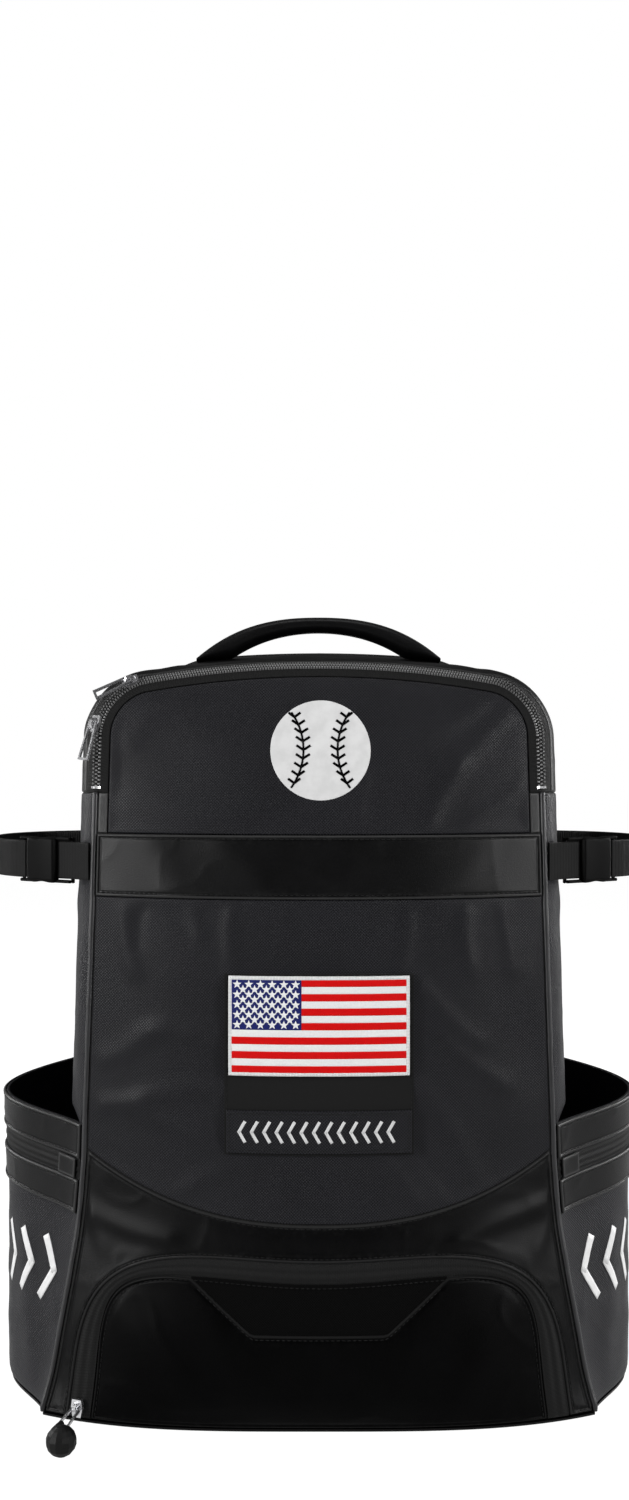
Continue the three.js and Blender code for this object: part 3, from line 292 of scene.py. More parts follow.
def seam_half_width(z):
    flare = read_table(FRONT_SECTIONS, "height", "flare", np.asarray(z) / FRONT_HEIGHT)
    return TOP_HALF_WIDTH + (BASE_HALF_WIDTH - TOP_HALF_WIDTH) * flare


def front_y(x, z):
    share = np.asarray(z) / FRONT_HEIGHT
    reach = FRONT_REACH * read_table(FRONT_SECTIONS, "height", "reach", share)
    crown = FRONT_CROWN * read_table(FRONT_SECTIONS, "height", "crown", share)
    power = read_table(FRONT_SECTIONS, "height", "power", share)
    return -reach + crown * (np.abs(x) / seam_half_width(z)) ** power


def front_point(x, z):
    return stack(x, front_y(x, z), z)


def front_normal(points):
    x, z = points[..., 0], points[..., 2]
    step = 0.5
    slope_x = (front_y(x + step, z) - front_y(x - step, z)) / (2 * step)
    slope_z = (front_y(x, z + step) - front_y(x, z - step)) / (2 * step)
    return unit(stack(slope_x, -1.0, slope_z))


def back_half_width(z):
    return BACK_BASE_HALF_WIDTH + (BACK_TOP_HALF_WIDTH - BACK_BASE_HALF_WIDTH) * z / BACK_HEIGHT


def back_y(z):
    return BACK_REACH - BACK_LEAN * z / BACK_HEIGHT


FRONT_OUTLINE = (FRONT_HEIGHT, FRONT_ARCH_RISE, FRONT_CORNER_RADIUS, seam_half_width)
BACK_OUTLINE = (BACK_HEIGHT, BACK_ARCH_RISE, BACK_CORNER_RADIUS, back_half_width)


def corner_foot(outline):
    """The height at which an outline's rounded corners begin."""
    height, rise, corner, _ = outline
    return height - rise - corner


def outline_point(outline, s, inset=0.0):
    height, rise, corner, half_width = outline
    k = np.abs(s)
    corner_top = corner_foot(outline)
    side_z = corner_top * (1 - k) / (1 - CORNER_SHARE)
    side_x = half_width(np.clip(side_z, 0, height)) - inset
    half = half_width(corner_top)
    straight = half - corner
    turn = np.clip((k - ARCH_SHARE) / (CORNER_SHARE - ARCH_SHARE), 0, 1) * (math.pi / 2)
    bend = corner - inset
    arch_x = np.where(k < ARCH_SHARE, straight * k / ARCH_SHARE, straight + bend * np.sin(turn))
    drop = corner - bend * np.cos(turn)
    arch_z = height - rise * (arch_x / half) ** 2 - drop
    on_side = k >= CORNER_SHARE
    return np.sign(s) * np.where(on_side, side_x, arch_x), np.where(on_side, side_z, arch_z)


def side_station(z):
    return 1 - z / corner_foot(FRONT_OUTLINE) * (1 - CORNER_SHARE)


def sleeve_share(z):
    """How far a height lies behind the bat sleeve: 1 behind it, 0 above it."""
    return np.clip((POCKET_HEIGHT + SLEEVE_EASE - z) / (2 * SLEEVE_EASE), 0, 1)


def gusset_point(s, depth):
    s, depth = np.broadcast_arrays(np.asarray(s, float), np.asarray(depth, float))
    front_x, front_z = outline_point(FRONT_OUTLINE, s)
    start = front_point(front_x, front_z)
    back_x, back_z = outline_point(BACK_OUTLINE, s)
    end = stack(back_x, back_y(back_z), back_z)
    step = 0.004
    before_x, before_z = outline_point(FRONT_OUTLINE, s - step)
    after_x, after_z = outline_point(FRONT_OUTLINE, s + step)
    out = unit(stack(before_z - after_z, 0.0, after_x - before_x))
    sideways = np.minimum(1, np.abs(out[..., 0]))
    side, sleeve, top = (read_table(GUSSET_SECTIONS, "depth", column, depth)
                         for column in ("side", "sleeve", "top"))
    swell = mix(top, mix(side, sleeve, sleeve_share(front_z)), sideways)
    return mix(start, end, depth[..., None]) + out * (SIDE_BULGE * swell)[..., None]


def depth_share(s, length):
    run = np.linalg.norm(gusset_point(s, 1.0) - gusset_point(s, 0.0), axis=-1)
    return length / run


def pocket_point(side, depth, z):
    seam = seam_half_width(z)
    start = stack(seam, front_y(seam, z), z)
    end = stack(back_half_width(z), back_y(z), z)
    depth = np.asarray(depth, float)
    point = mix(start, end, depth[..., None])
    share = np.minimum(1, np.asarray(z) / POCKET_HEIGHT)
    outer = mix(POCKET_BASE_HALF_WIDTH, POCKET_OUTER_HALF_WIDTH, share)
    middle = (seam + back_half_width(z)) / 2
    roundness = mix(POCKET_FRONT_ROUNDNESS, POCKET_BACK_ROUNDNESS, np.clip(depth, 0, 1))
    swell = np.maximum(0, np.sin(math.pi * np.clip(depth, 0, 1))) ** roundness
    point[..., 0] = side * (point[..., 0] + (outer - middle) * swell)
    return point


# Relief on cloth: smooth seeded noise, ridged wrinkles, and folds from a table.
LATTICE = np.random.default_rng(11).random((64, 64))


def noise(x, y, size):
    x, y = np.asarray(x) / size, np.asarray(y) / size
    xi, yi = np.floor(x).astype(int), np.floor(y).astype(int)
    fx, fy = x - xi, y - yi
    fx, fy = fx * fx * (3 - 2 * fx), fy * fy * (3 - 2 * fy)
    a = LATTICE[xi % 64, yi % 64]
    b = LATTICE[(xi + 1) % 64, yi % 64]
    c = LATTICE[xi % 64, (yi + 1) % 64]
    d = LATTICE[(xi + 1) % 64, (yi + 1) % 64]
    return mix(mix(a, b, fx), mix(c, d, fx), fy) * 2 - 1


def wrinkles(x, y, size, sharpness=3.0):
    bend = 0.5 * size
    warped_x = x + bend * noise(x + 31, y - 17, 1.7 * size)
    warped_y = y + bend * noise(x - 53, y + 71, 1.7 * size)
    return (1 - np.abs(noise(warped_x, warped_y, size))) ** sharpness - 0.35


def fold_relief(rows, a, b):
    total = np.zeros_like(a)
    for x0, z0, x1, z1, width, height in rows:
        dx, dz = x1 - x0, z1 - z0
        length = dx * dx + dz * dz
        t = ((a - x0) * dx + (b - z0) * dz) / length
        wander = 0.25 * width * np.sin(4.0 * t + x0)
        across = ((a - x0) * dz - (b - z0) * dx) / math.sqrt(length) + wander
        along = np.maximum(0, np.maximum(-t, t - 1)) * math.sqrt(length)
        total += height * np.exp(-(across / width) ** 2 - (along / (1.6 * width)) ** 2)
    return total


# Meshes and pieces.
def signed_volume(points, faces):
    quads = np.array([face if len(face) == 4 else (*face, face[2]) for face in faces])
    a, b, c, d = (points[quads[:, i]] for i in range(4))
    return (np.einsum("ij,ij->i", a, np.cross(b, c)) + np.einsum("ij,ij->i", a, np.cross(c, d))).sum()


def make_piece(name, points, faces, look, stands_for=(), weave=None, seam=None, smooth=True):
    """A Blender object from points in millimetres; it rides on the bag."""
    points = np.asarray(points, float).reshape(-1, 3)
    faces = [tuple(int(i) for i in face) for face in faces]
    if signed_volume(points, faces) < 0:
        faces = [face[::-1] for face in faces]
    mesh = bpy.data.meshes.new(name)
    mesh.from_pydata((points * MM).tolist(), [], faces)
    mesh.update()
    if weave is None:
        weave = points
    flat = np.zeros((len(points), 3))
    flat[:, :weave.shape[-1]] = np.asarray(weave).reshape(len(points), -1)
    mesh.attributes.new("weave", "FLOAT_VECTOR", "POINT").data.foreach_set("vector", flat.ravel())
    edge = np.zeros(len(points)) if seam is None else np.asarray(seam, float).ravel()
    mesh.attributes.new("seam", "FLOAT", "POINT").data.foreach_set("value", edge)
    if smooth:
        mesh.polygons.foreach_set("use_smooth", [True] * len(mesh.polygons))
    mesh.materials.append(look)
    piece = bpy.data.objects.new(name, mesh)
    bpy.context.scene.collection.objects.link(piece)
    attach(piece, "root")
    if stands_for:
        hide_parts(*stands_for)
    return piece


def grid_faces(nu, nv, offset=0):
    i, j = np.meshgrid(np.arange(nu - 1), np.arange(nv - 1), indexing="ij")
    a = (i * nv + j).ravel() + offset
    return np.stack([a, a + nv, a + nv + 1, a + 1], axis=1)


def slab_faces(nu, nv):
    """The faces of two grids, one behind the other, joined round their rims."""
    top = grid_faces(nu, nv)
    under = grid_faces(nu, nv, nu * nv)[:, ::-1]
    rim = np.concatenate([
        np.arange(nv),
        np.arange(1, nu) * nv + nv - 1,
        (nu - 1) * nv + np.arange(nv - 2, -1, -1),
        np.arange(nu - 2, 0, -1) * nv,
    ])
    after = np.roll(rim, -1)
    band = np.stack([rim, after, after + nu * nv, rim + nu * nv], axis=1)
    return np.concatenate([top, under, band])


HEM = 4.0
HEM_STEP = 0.55


def spaced(length, step, roll, hem=0.0):
    """Places from 0 to 1 along a length, close together at both ends where the edge rolls in."""
    ends = roll * (1 - np.cos(np.linspace(0, math.pi / 2, 5)))
    if hem:
        ends = np.concatenate([ends[:-1], np.arange(roll, hem, HEM_STEP)])
    inset = max(roll, hem)
    middle = np.linspace(inset, length - inset, max(2, int(round((length - 2 * inset) / step)) + 1))
    ends = ends if hem else ends[:-1]
    places = np.concatenate([ends, middle, length - ends[::-1]])
    return places / length


def rim_distance(points):
    """How far each point of a grid lies from the grid's own rim."""
    rim = np.concatenate([points[:, 0], points[-1, 1:], points[-2::-1, -1], points[0, -2::-1]])
    flat = points.reshape(-1, 3)
    nearest = np.full(len(flat), np.inf)
    for start, end in zip(rim[:-1], rim[1:]):
        way = end - start
        share = np.clip((flat - start) @ way / max(way @ way, 1e-9), 0, 1)
        nearest = np.minimum(nearest, ((flat - start - share[:, None] * way) ** 2).sum(-1))
    return np.sqrt(nearest).reshape(points.shape[:2])


def welt(edge):
    """A turned hem: a raised roll at the edge and the groove that the stitches pull down."""
    return 0.5 * hump(edge, 1.2, 0.75) - 0.42 * hump(edge, 2.7, 0.55)


# Outward is away from the bag's upright middle line, which ends at this height.
CORE_TOP = 380.0


def outwardness(normals, points):
    core = stack(0.0, 0.0, np.minimum(points[..., 2], CORE_TOP))
    return (normals * (points - core)).sum(-1)


def grid_normals(points):
    normals = unit(np.cross(np.gradient(points, axis=0), np.gradient(points, axis=1)))
    return normals * np.sign(outwardness(normals, points).mean())


def one_way(*way):
    """For sew: normals that all point the same way."""
    return lambda points: np.broadcast_to(np.array(way, float), points.shape)


def arc_weave(points):
    """Cloth coordinates in millimetres: distances along both ways of a grid from its middle."""
    du = np.linalg.norm(np.diff(points, axis=0), axis=-1)
    dv = np.linalg.norm(np.diff(points, axis=1), axis=-1)
    u = np.concatenate([np.zeros((1, points.shape[1])), np.cumsum(du, axis=0)])
    v = np.concatenate([np.zeros((points.shape[0], 1)), np.cumsum(dv, axis=1)], axis=1)
    return np.stack([u - u[u.shape[0] // 2], v - v[:, v.shape[1] // 2][:, None]], axis=-1)


def foot_tuck(z):
    """How far a wall is drawn in where it rounds into the base."""
    z = np.clip(z, 0, BASE_ROUND)
    return BASE_ROUND - np.sqrt(BASE_ROUND ** 2 - (BASE_ROUND - z) ** 2)


def sew(name, surface, size, look, slot, stands_for=(), normal_at=None, lift=0.0, thickness=CLOTH,
        relief=None, roll=1.2, step=2.4, ease=9.0, flat_weave=False, round_foot=False, hemmed=False,
        step_along=None):
    """A cloth panel on a surface of two shares, with rolled edges and relief that dies at them.

    Relief is worked out from the points and from how far they lie from the panel's edge."""
    length_u, length_v = size
    hem = HEM if hemmed else 0.0
    u = spaced(length_u, step_along or step, roll, hem)
    v = spaced(length_v, step, roll, hem)
    grid_u, grid_v = np.meshgrid(u, v, indexing="ij")
    points = surface(grid_u, grid_v)
    normals = normal_at(points) if normal_at else grid_normals(points)
    edge = rim_distance(points)
    fall = roll - np.sqrt(np.maximum(0, roll ** 2 - (roll - np.minimum(edge, roll)) ** 2))
    rise = lift - fall
    if hemmed:
        rise = rise + welt(edge)
    if relief is not None:
        rise = rise + relief(points, edge) * smooth_step(0, ease, edge)
    outer = points + normals * rise[..., None]
    inner = points + normals * (np.minimum(rise - 0.35, lift - thickness))[..., None]
    if round_foot:
        for layer in (outer, inner):
            layer -= normals * stack(1, 1, 0) * foot_tuck(layer[..., 2])[..., None]
    weave = points[..., [0, 2]] if flat_weave else arc_weave(points)
    both = np.concatenate([outer.reshape(-1, 3), inner.reshape(-1, 3)])
    seam = np.exp(-edge / 3.0).ravel()
    return make_piece(
        name, both, slab_faces(len(u), len(v)), look, stands_for,
        weave=np.concatenate([weave.reshape(-1, 2)] * 2), seam=np.concatenate([seam, seam]))


def sweep_frames(path, hint):
    along = unit(np.gradient(path, axis=0))
    hint = np.asarray(hint, float)
    across = unit(hint - along * (along @ hint)[:, None])
    return along, across, np.cross(along, across)


def tube(name, rings, ends, path, section, look, stands_for=()):
    """A skin round the rings of a closed section along a path, its ends closed by fans."""
    count, n = rings.shape[:2]
    points = np.concatenate([rings.reshape(-1, 3), ends])
    faces = []
    for k in range(count - 1):
        for i in range(n):
            j = (i + 1) % n
            faces.append((k * n + i, k * n + j, (k + 1) * n + j, (k + 1) * n + i))
    first, last = count * n, count * n + 1
    for i in range(n):
        j = (i + 1) % n
        faces.append((first, j, i))
        faces.append((last, (count - 1) * n + i, (count - 1) * n + j))
    run = run_along(path)
    girth = np.cumsum(np.linalg.norm(np.roll(section, -1, 0) - section, axis=1))
    weave = np.stack(np.meshgrid(run, girth, indexing="ij"), axis=-1).reshape(-1, 2)
    weave = np.concatenate([weave, [[run[0], 0], [run[-1], 0]]])
    return make_piece(name, points, faces, look, stands_for, weave=weave)


def sweep(name, path, hint, section, look, stands_for=(), wide=1.0, deep=1.0, cap_round=0.0):
    """A closed section of (across, out) pairs swept along a path."""
    along, across, out = sweep_frames(path, hint)
    wide, deep = (np.broadcast_to(share, len(path))[:, None, None] for share in (wide, deep))
    rings = (path[:, None] + across[:, None] * (section[None, :, :1] * wide)
             + out[:, None] * (section[None, :, 1:] * deep))
    ends = [path[0] - along[0] * cap_round, path[-1] + along[-1] * cap_round]
    return tube(name, rings, ends, path, section, look, stands_for)


def ring(across, out, sides, power=2.0):
    angle = (np.arange(sides) + 0.5) * 2 * math.pi / sides
    c, s = np.cos(angle), np.sin(angle)
    return np.stack([across * np.sign(c) * np.abs(c) ** (2 / power),
                     out * np.sign(s) * np.abs(s) ** (2 / power)], axis=1)


def tape_section(width, thickness):
    """A flat strap's section with rounded selvedges."""
    half, t = width / 2, thickness / 2
    x = np.linspace(-half + t, half - t, 12)
    turn = np.linspace(-math.pi / 2, math.pi / 2, 5)[1:-1]
    right = np.stack([half - t + t * np.cos(turn), t * np.sin(turn)], axis=1)
    left = np.stack([-half + t - t * np.cos(turn), -t * np.sin(turn)], axis=1)
    under, over = np.stack([x, -t + 0 * x], 1), np.stack([x[::-1], t + 0 * x], 1)
    return np.concatenate([under, right, over, left])


def resample(path, step):
    run = run_along(path)
    count = max(2, int(round(run[-1] / step)) + 1)
    return values_at(np.linspace(0, run[-1], count), run, path)


def catmull(points, count):
    """A centripetal Catmull-Rom curve, evenly spaced, as the solids' straps follow."""
    p = np.asarray(points, float)
    p = np.concatenate([[2 * p[0] - p[1]], p, [2 * p[-1] - p[-2]]])
    pieces = []
    for i in range(1, len(p) - 2):
        a, b, c, d = p[i - 1:i + 3]
        gaps = [max(1e-6, np.linalg.norm(q - r)) ** 0.5 for q, r in ((b, a), (c, b), (d, c))]
        m1 = ((b - a) / gaps[0] - (c - a) / (gaps[0] + gaps[1]) + (c - b) / gaps[1]) * gaps[1]
        m2 = ((c - b) / gaps[1] - (d - b) / (gaps[1] + gaps[2]) + (d - c) / gaps[2]) * gaps[1]
        t = np.linspace(0, 1, 24, endpoint=False)[:, None]
        pieces.append((2 * t ** 3 - 3 * t ** 2 + 1) * b + (t ** 3 - 2 * t ** 2 + t) * m1
                      + (3 * t ** 2 - 2 * t ** 3) * c + (t ** 3 - t ** 2) * m2)
    path = np.concatenate(pieces + [p[-2:-1]])
    run = run_along(path)
    return values_at(np.linspace(0, run[-1], count), run, path)


class Stitches:
    """Collects runs of small thread stitches and makes them one piece."""

    PITCH = 3.3
    LENGTH = 2.5
    RADIUS = 0.26
    SINK = 0.08
    SIDES = 6

    def __init__(self):
        self.points = []
        self.faces = []

    def run(self, path, normals, lift):
        run = run_along(path)
        count = int(run[-1] / self.PITCH)
        for k in range(count):
            middle = (k + 0.5) * run[-1] / count
            n = unit(values_at(middle, run, normals))
            a, b = (values_at(middle + way * self.LENGTH / 2, run, path) for way in (-1, 1))
            self.add(a + n * (lift - self.SINK), b + n * (lift - self.SINK), n)

    def add(self, a, b, n):
        along = unit(b - a)
        across = np.cross(along, n)
        start = sum(len(p) for p in self.points)
        angle = np.arange(self.SIDES) * 2 * math.pi / self.SIDES
        circle = self.RADIUS * (np.cos(angle)[:, None] * across + np.sin(angle)[:, None] * n)
        lifted = n * self.RADIUS * 0.7
        rings = [mix(a, b, 0.22) + lifted + circle, mix(a, b, 0.78) + lifted + circle]
        self.points.append(np.concatenate([rings[0], rings[1], [a, b]]))
        s = self.SIDES
        for i in range(s):
            j = (i + 1) % s
            self.faces.append((start + i, start + j, start + s + j, start + s + i))
            self.faces.append((start + 2 * s, start + j, start + i))
            self.faces.append((start + 2 * s + 1, start + s + i, start + s + j))

    def make(self, name, look):
        make_piece(name, np.concatenate(self.points), self.faces, look)


# Node materials.
class Shade:
    """A Principled material, put together by short calls."""

    def __init__(self, name):
        self.material = bpy.data.materials.new(name)
        self.material.use_nodes = True
        self.tree = self.material.node_tree
        self.shader = self.tree.nodes["Principled BSDF"]
        self.weave = self.add("Attribute", output="Vector", attribute_name="weave")
        self.seam = self.add("Attribute", output="Fac", attribute_name="seam")
        self.place = self.add("TexCoord", output="Object")

    def add(self, kind, output=0, inputs=(), **settings):
        node = self.tree.nodes.new("ShaderNode" + kind)
        for key, value in settings.items():
            setattr(node, key, value)
        for key, value in dict(inputs).items():
            self.put(node.inputs[key], value)
        return node.outputs[output]

    def put(self, socket, value):
        if isinstance(value, bpy.types.NodeSocket):
            self.tree.links.new(value, socket)
        else:
            socket.default_value = value

    def math(self, operation, a, b):
        return self.add("Math", inputs={0: a, 1: b}, operation=operation)

    def noise(self, vector, scale, detail=3.0, roughness=0.55):
        inputs = {"Vector": vector, "Scale": scale, "Detail": detail, "Roughness": roughness}
        return self.add("TexNoise", output="Fac", inputs=inputs)

    def dots(self, vector, scale=1.0, randomness=0.0):
        """The distance to the nearest point of a flat lattice, or of a scatter of points."""
        inputs = {"Vector": vector, "Scale": scale, "Randomness": randomness}
        return self.add("TexVoronoi", output="Distance", inputs=inputs, voronoi_dimensions="2D",
                        feature="F1")

    def wave(self, vector, scale, direction="X", distortion=0.0, detail=0.0, detail_scale=1.0):
        inputs = {"Vector": vector, "Scale": scale, "Distortion": distortion, "Detail": detail,
                  "Detail Scale": detail_scale}
        return self.add("TexWave", output="Fac", inputs=inputs, wave_type="BANDS",
                        bands_direction=direction)

    def ramp(self, factor, low, high, start=0.0, end=1.0):
        inputs = {"Value": factor, "From Min": low, "From Max": high, "To Min": start, "To Max": end}
        return self.add("MapRange", inputs=inputs, interpolation_type="SMOOTHSTEP")

    def blend(self, factor, a, b):
        node = self.tree.nodes.new("ShaderNodeMix")
        node.data_type = "RGBA"
        for socket, value in ((0, factor), (6, a), (7, b)):
            self.put(node.inputs[socket], value)
        return node.outputs[2]

    def stretch(self, vector, scale, turn=0.0):
        inputs = {"Vector": vector, "Scale": scale, "Rotation": (0, 0, turn)}
        return self.add("Mapping", inputs=inputs)

    def bump(self, height, distance, strength=1.0, under=None):
        inputs = {"Height": height, "Distance": distance, "Strength": strength}
        if under is not None:
            inputs["Normal"] = under
        return self.add("Bump", output="Normal", inputs=inputs)

    def set(self, **values):
        names = {"color": "Base Color", "roughness": "Roughness", "metallic": "Metallic",
                 "normal": "Normal", "sheen": "Sheen Weight", "specular": "Specular IOR Level"}
        for key, value in values.items():
            self.put(self.shader.inputs[names[key]], value)
        return self.material


def grey(value, blue=1.0):
    return (value, value, value * blue, 1.0)


DOT_PITCH = 1.9


def dotted_fabric():
    s = Shade("dotted_fabric")
    step = math.sqrt(2) / DOT_PITCH
    lattice = s.stretch(s.weave, (step, step, step), math.pi / 4)
    cells = s.dots(lattice)
    dot = s.ramp(cells, 0.47, 0.3)
    cloud = s.noise(s.weave, 0.02, 3)
    dust = s.noise(s.weave, 0.5, 4)
    ground = s.blend(cloud, grey(0.0008, 1.4), grey(0.0014, 1.4))
    raised = s.blend(cloud, grey(0.009, 1.25), grey(0.015, 1.25))
    # The dot pattern is the cloth's own, but the dots are painted about ten times lighter than the
    # ground: a painted highlight on their glossy raised tops.
    color = s.blend(dot, ground, raised)
    worn = s.math("MULTIPLY", s.seam, s.ramp(dust, 0.5, 0.75))
    color = s.blend(s.math("MULTIPLY", worn, 0.3), color, grey(0.03, 1.05))
    rough = s.math("SUBTRACT", 0.6, s.math("MULTIPLY", dot, 0.2))
    rough = s.math("ADD", rough, s.ramp(cloud, 0.3, 0.7, -0.05, 0.05))
    weave = s.bump(s.noise(s.weave, 2.2, 2), 0.00006)
    normal = s.bump(dot, 0.00022, 0.9, weave)
    return s.set(color=color, roughness=rough, normal=normal, specular=0.15)


def satin(name, tone, gloss, rim=0.03):
    """Coated cloth with a leathery grain; tone scales its grey, and rim is the colour of its lighter
    turned edge: real scuffs near the edges and a painted highlight along the very edge.
    """
    s = Shade(name)
    pores = s.dots(s.weave, 1.5, 1.0)
    grain = s.noise(s.weave, 0.9, 4)
    cloud = s.noise(s.weave, 0.03, 3)
    color = s.blend(s.ramp(cloud, 0.35, 0.65), grey(0.0012 * tone, 1.1), grey(0.0022 * tone, 1.1))
    scuff = s.math("MULTIPLY", s.seam, s.ramp(s.noise(s.weave, 0.25, 4), 0.48, 0.7))
    color = s.blend(s.math("MULTIPLY", scuff, 0.3), color, grey(rim))
    # Painted highlight: a thin line along the very edge is painted towards the rim colour, where the
    # rolled hem would catch the light.
    color = s.blend(s.ramp(s.seam, 0.5, 0.8, 0.0, 0.8), color, grey(rim))
    rough = s.ramp(grain, 0.3, 0.7, 0.33, 0.43)
    fine = s.bump(s.ramp(pores, 0.0, 0.55), 0.00005, 0.6)
    normal = s.bump(grain, 0.00012, 0.6, fine)
    return s.set(color=color, roughness=rough, normal=normal, specular=gloss)


def padded_mesh():
    s = Shade("padded_fabric")
    step = math.sqrt(2) / 2.6
    lattice = s.stretch(s.weave, (step, step * 0.7, step), math.pi / 4)
    cells = s.dots(lattice)
    hole = s.ramp(cells, 0.34, 0.2)
    cloud = s.noise(s.weave, 0.03, 3)
    yarn = s.blend(cloud, grey(0.02), grey(0.034))
    # Painted shade: the holes of the mesh are painted near black, for the shade down in them.
    color = s.blend(hole, yarn, grey(0.002))
    fuzz = s.noise(s.weave, 3.0, 3)
    normal = s.bump(s.math("SUBTRACT", 1.0, hole), 0.0004, 0.8, s.bump(fuzz, 0.0001, 0.5))
    return s.set(color=color, roughness=s.ramp(fuzz, 0.2, 0.8, 0.75, 0.92), normal=normal, sheen=0.03,
                 specular=0.15)


def vent_mesh():
    s = Shade("vent_mesh")
    lattice = s.stretch(s.weave, (0.9, 0.9, 0.9), math.pi / 4)
    cells = s.dots(lattice)
    hole = s.ramp(cells, 0.42, 0.3)
    # Painted shade: the holes are painted darker than the mesh, for the shade of the pocket behind them.
    color = s.blend(hole, grey(0.0022), grey(0.0004))
    normal = s.bump(s.math("SUBTRACT", 1.0, hole), 0.0004, 1.0)
    return s.set(color=color, roughness=s.ramp(cells, 0.2, 0.6, 0.8, 0.95), normal=normal,
                 specular=0.04)


# A wave texture repeats once a millimetre at this scale.
WAVE_SCALE = 0.314


def rib_weave(name, ribs, value, rough, depth):
    """Tape or webbing: ribs across its length, with a fine twill in them."""
    s = Shade(name)
    wave = s.wave(s.weave, WAVE_SCALE / ribs)
    twill = s.wave(s.weave, 0.35, "DIAGONAL", 0.6, 1.0, 2.0)
    cloud = s.noise(s.weave, 0.05, 3)
    base = s.blend(cloud, grey(value * 0.8), grey(value * 1.25))
    # Painted highlight: the rib crests are painted lighter, towards twice the ground's grey, as if they
    # catch the light.
    color = s.blend(s.math("MULTIPLY", wave, 0.6), base, grey(value * 2.1))
    normal = s.bump(wave, depth, 1.0, s.bump(twill, 0.00008, 0.7))
    return s.set(color=color, roughness=s.ramp(twill, 0.0, 1.0, rough - 0.06, rough + 0.06),
                 normal=normal, sheen=0.02, specular=0.15)


def loop_tape():
    s = Shade("loop_tape")
    fuzz = s.noise(s.weave, 2.6, 6, 0.7)
    color = s.blend(fuzz, grey(0.004), grey(0.011))
    normal = s.bump(fuzz, 0.0003, 0.8)
    return s.set(color=color, roughness=s.ramp(fuzz, 0.2, 0.8, 0.82, 0.97), normal=normal, sheen=0.02,
                 specular=0.08)


def thread(name, dark, light, turn=0.0, pitch=0.55):
    """Embroidery: fine parallel threads, with a satin shine partly painted into their colour."""
    s = Shade(name)
    lines = s.stretch(s.weave, (1, 1, 1), turn)
    wave = s.wave(lines, WAVE_SCALE / pitch, "X", 0.8, 2.0, 0.6)
    tone = s.noise(s.weave, 0.8, 4)
    # Painted sheen: the colour runs from dark between the threads to light along their crests, scaled by
    # a tone that varies at random.
    color = s.blend(s.math("MULTIPLY", wave, tone), dark, light)
    normal = s.bump(wave, 0.00022, 0.8, s.bump(tone, 0.0002, 0.6))
    return s.set(color=color, roughness=s.ramp(tone, 0.2, 0.8, 0.42, 0.62), normal=normal, sheen=0.02,
                 specular=0.08)


def moulded_plastic(name, value, rough, gloss):
    s = Shade(name)
    spark = s.noise(s.place, 2600.0, 3)
    cloud = s.noise(s.place, 70.0, 3)
    color = s.blend(cloud, grey(value * 0.8), grey(value * 1.3))
    normal = s.bump(spark, 0.00005, 0.6)
    return s.set(color=color, roughness=s.ramp(spark, 0.25, 0.75, rough - 0.07, rough + 0.07),
                 normal=normal, specular=gloss)


def zip_metal():
    s = Shade("zip_metal")
    scratch = s.noise(s.stretch(s.place, (900, 900, 5000)), 1.0, 3)
    cloud = s.noise(s.place, 160.0, 3)
    color = s.blend(cloud, grey(0.55, 1.02), grey(0.78, 1.02))
    normal = s.bump(scratch, 0.00002, 0.4)
    return s.set(color=color, roughness=s.ramp(scratch, 0.3, 0.7, 0.16, 0.3), metallic=1.0,
                 normal=normal)


def printed_white():
    s = Shade("printed_white")
    cloud = s.noise(s.weave, 0.1, 4)
    speck = s.noise(s.weave, 1.4, 3)
    color = s.blend(s.ramp(cloud, 0.3, 0.7), grey(0.44), grey(0.5))
    normal = s.bump(speck, 0.00006, 0.5)
    return s.set(color=color, roughness=s.ramp(speck, 0.3, 0.7, 0.42, 0.55), normal=normal)


WORLD_LIGHT = 0.1
WORLD_SEEN = 1.0
FLOOR_LIGHT = 0.55
FLOOR_SEEN = 0.97


def seen_or_lighting(tree, lighting, seen):
    """A strength that is one value for what the camera sees and another for the light it gives."""
    ray = tree.nodes.new("ShaderNodeLightPath").outputs["Is Camera Ray"]
    strength = tree.nodes.new("ShaderNodeMapRange")
    strength.inputs["To Min"].default_value = lighting
    strength.inputs["To Max"].default_value = seen
    tree.links.new(ray, strength.inputs["Value"])
    return strength.outputs["Result"]


def pale_floor():
    s = Shade("pale_floor")
    cloud = s.noise(s.place, 2.0, 3)
    color = s.blend(cloud, grey(0.1), grey(0.12))
    s.shader.inputs["Emission Color"].default_value = grey(1.0)
    brightness = seen_or_lighting(s.tree, FLOOR_LIGHT, FLOOR_SEEN)
    s.tree.links.new(brightness, s.shader.inputs["Emission Strength"])
    return s.set(color=color, roughness=s.ramp(cloud, 0.3, 0.7, 0.6, 0.7), specular=0.2)


FABRIC = dotted_fabric()
SATIN = satin("satin_trim", 0.8, 0.14)
# Painted shade: the next two are the satin trim made darker, for the lower front and top panels and,
# darker still, for the shoe flap; the darkest one also colours the ball's printed seams.
HALF_SHADED_SATIN = satin("half_shaded_satin", 0.6, 0.08, 0.022)
SHADED_SATIN = satin("shaded_satin", 0.3, 0.035, 0.01)
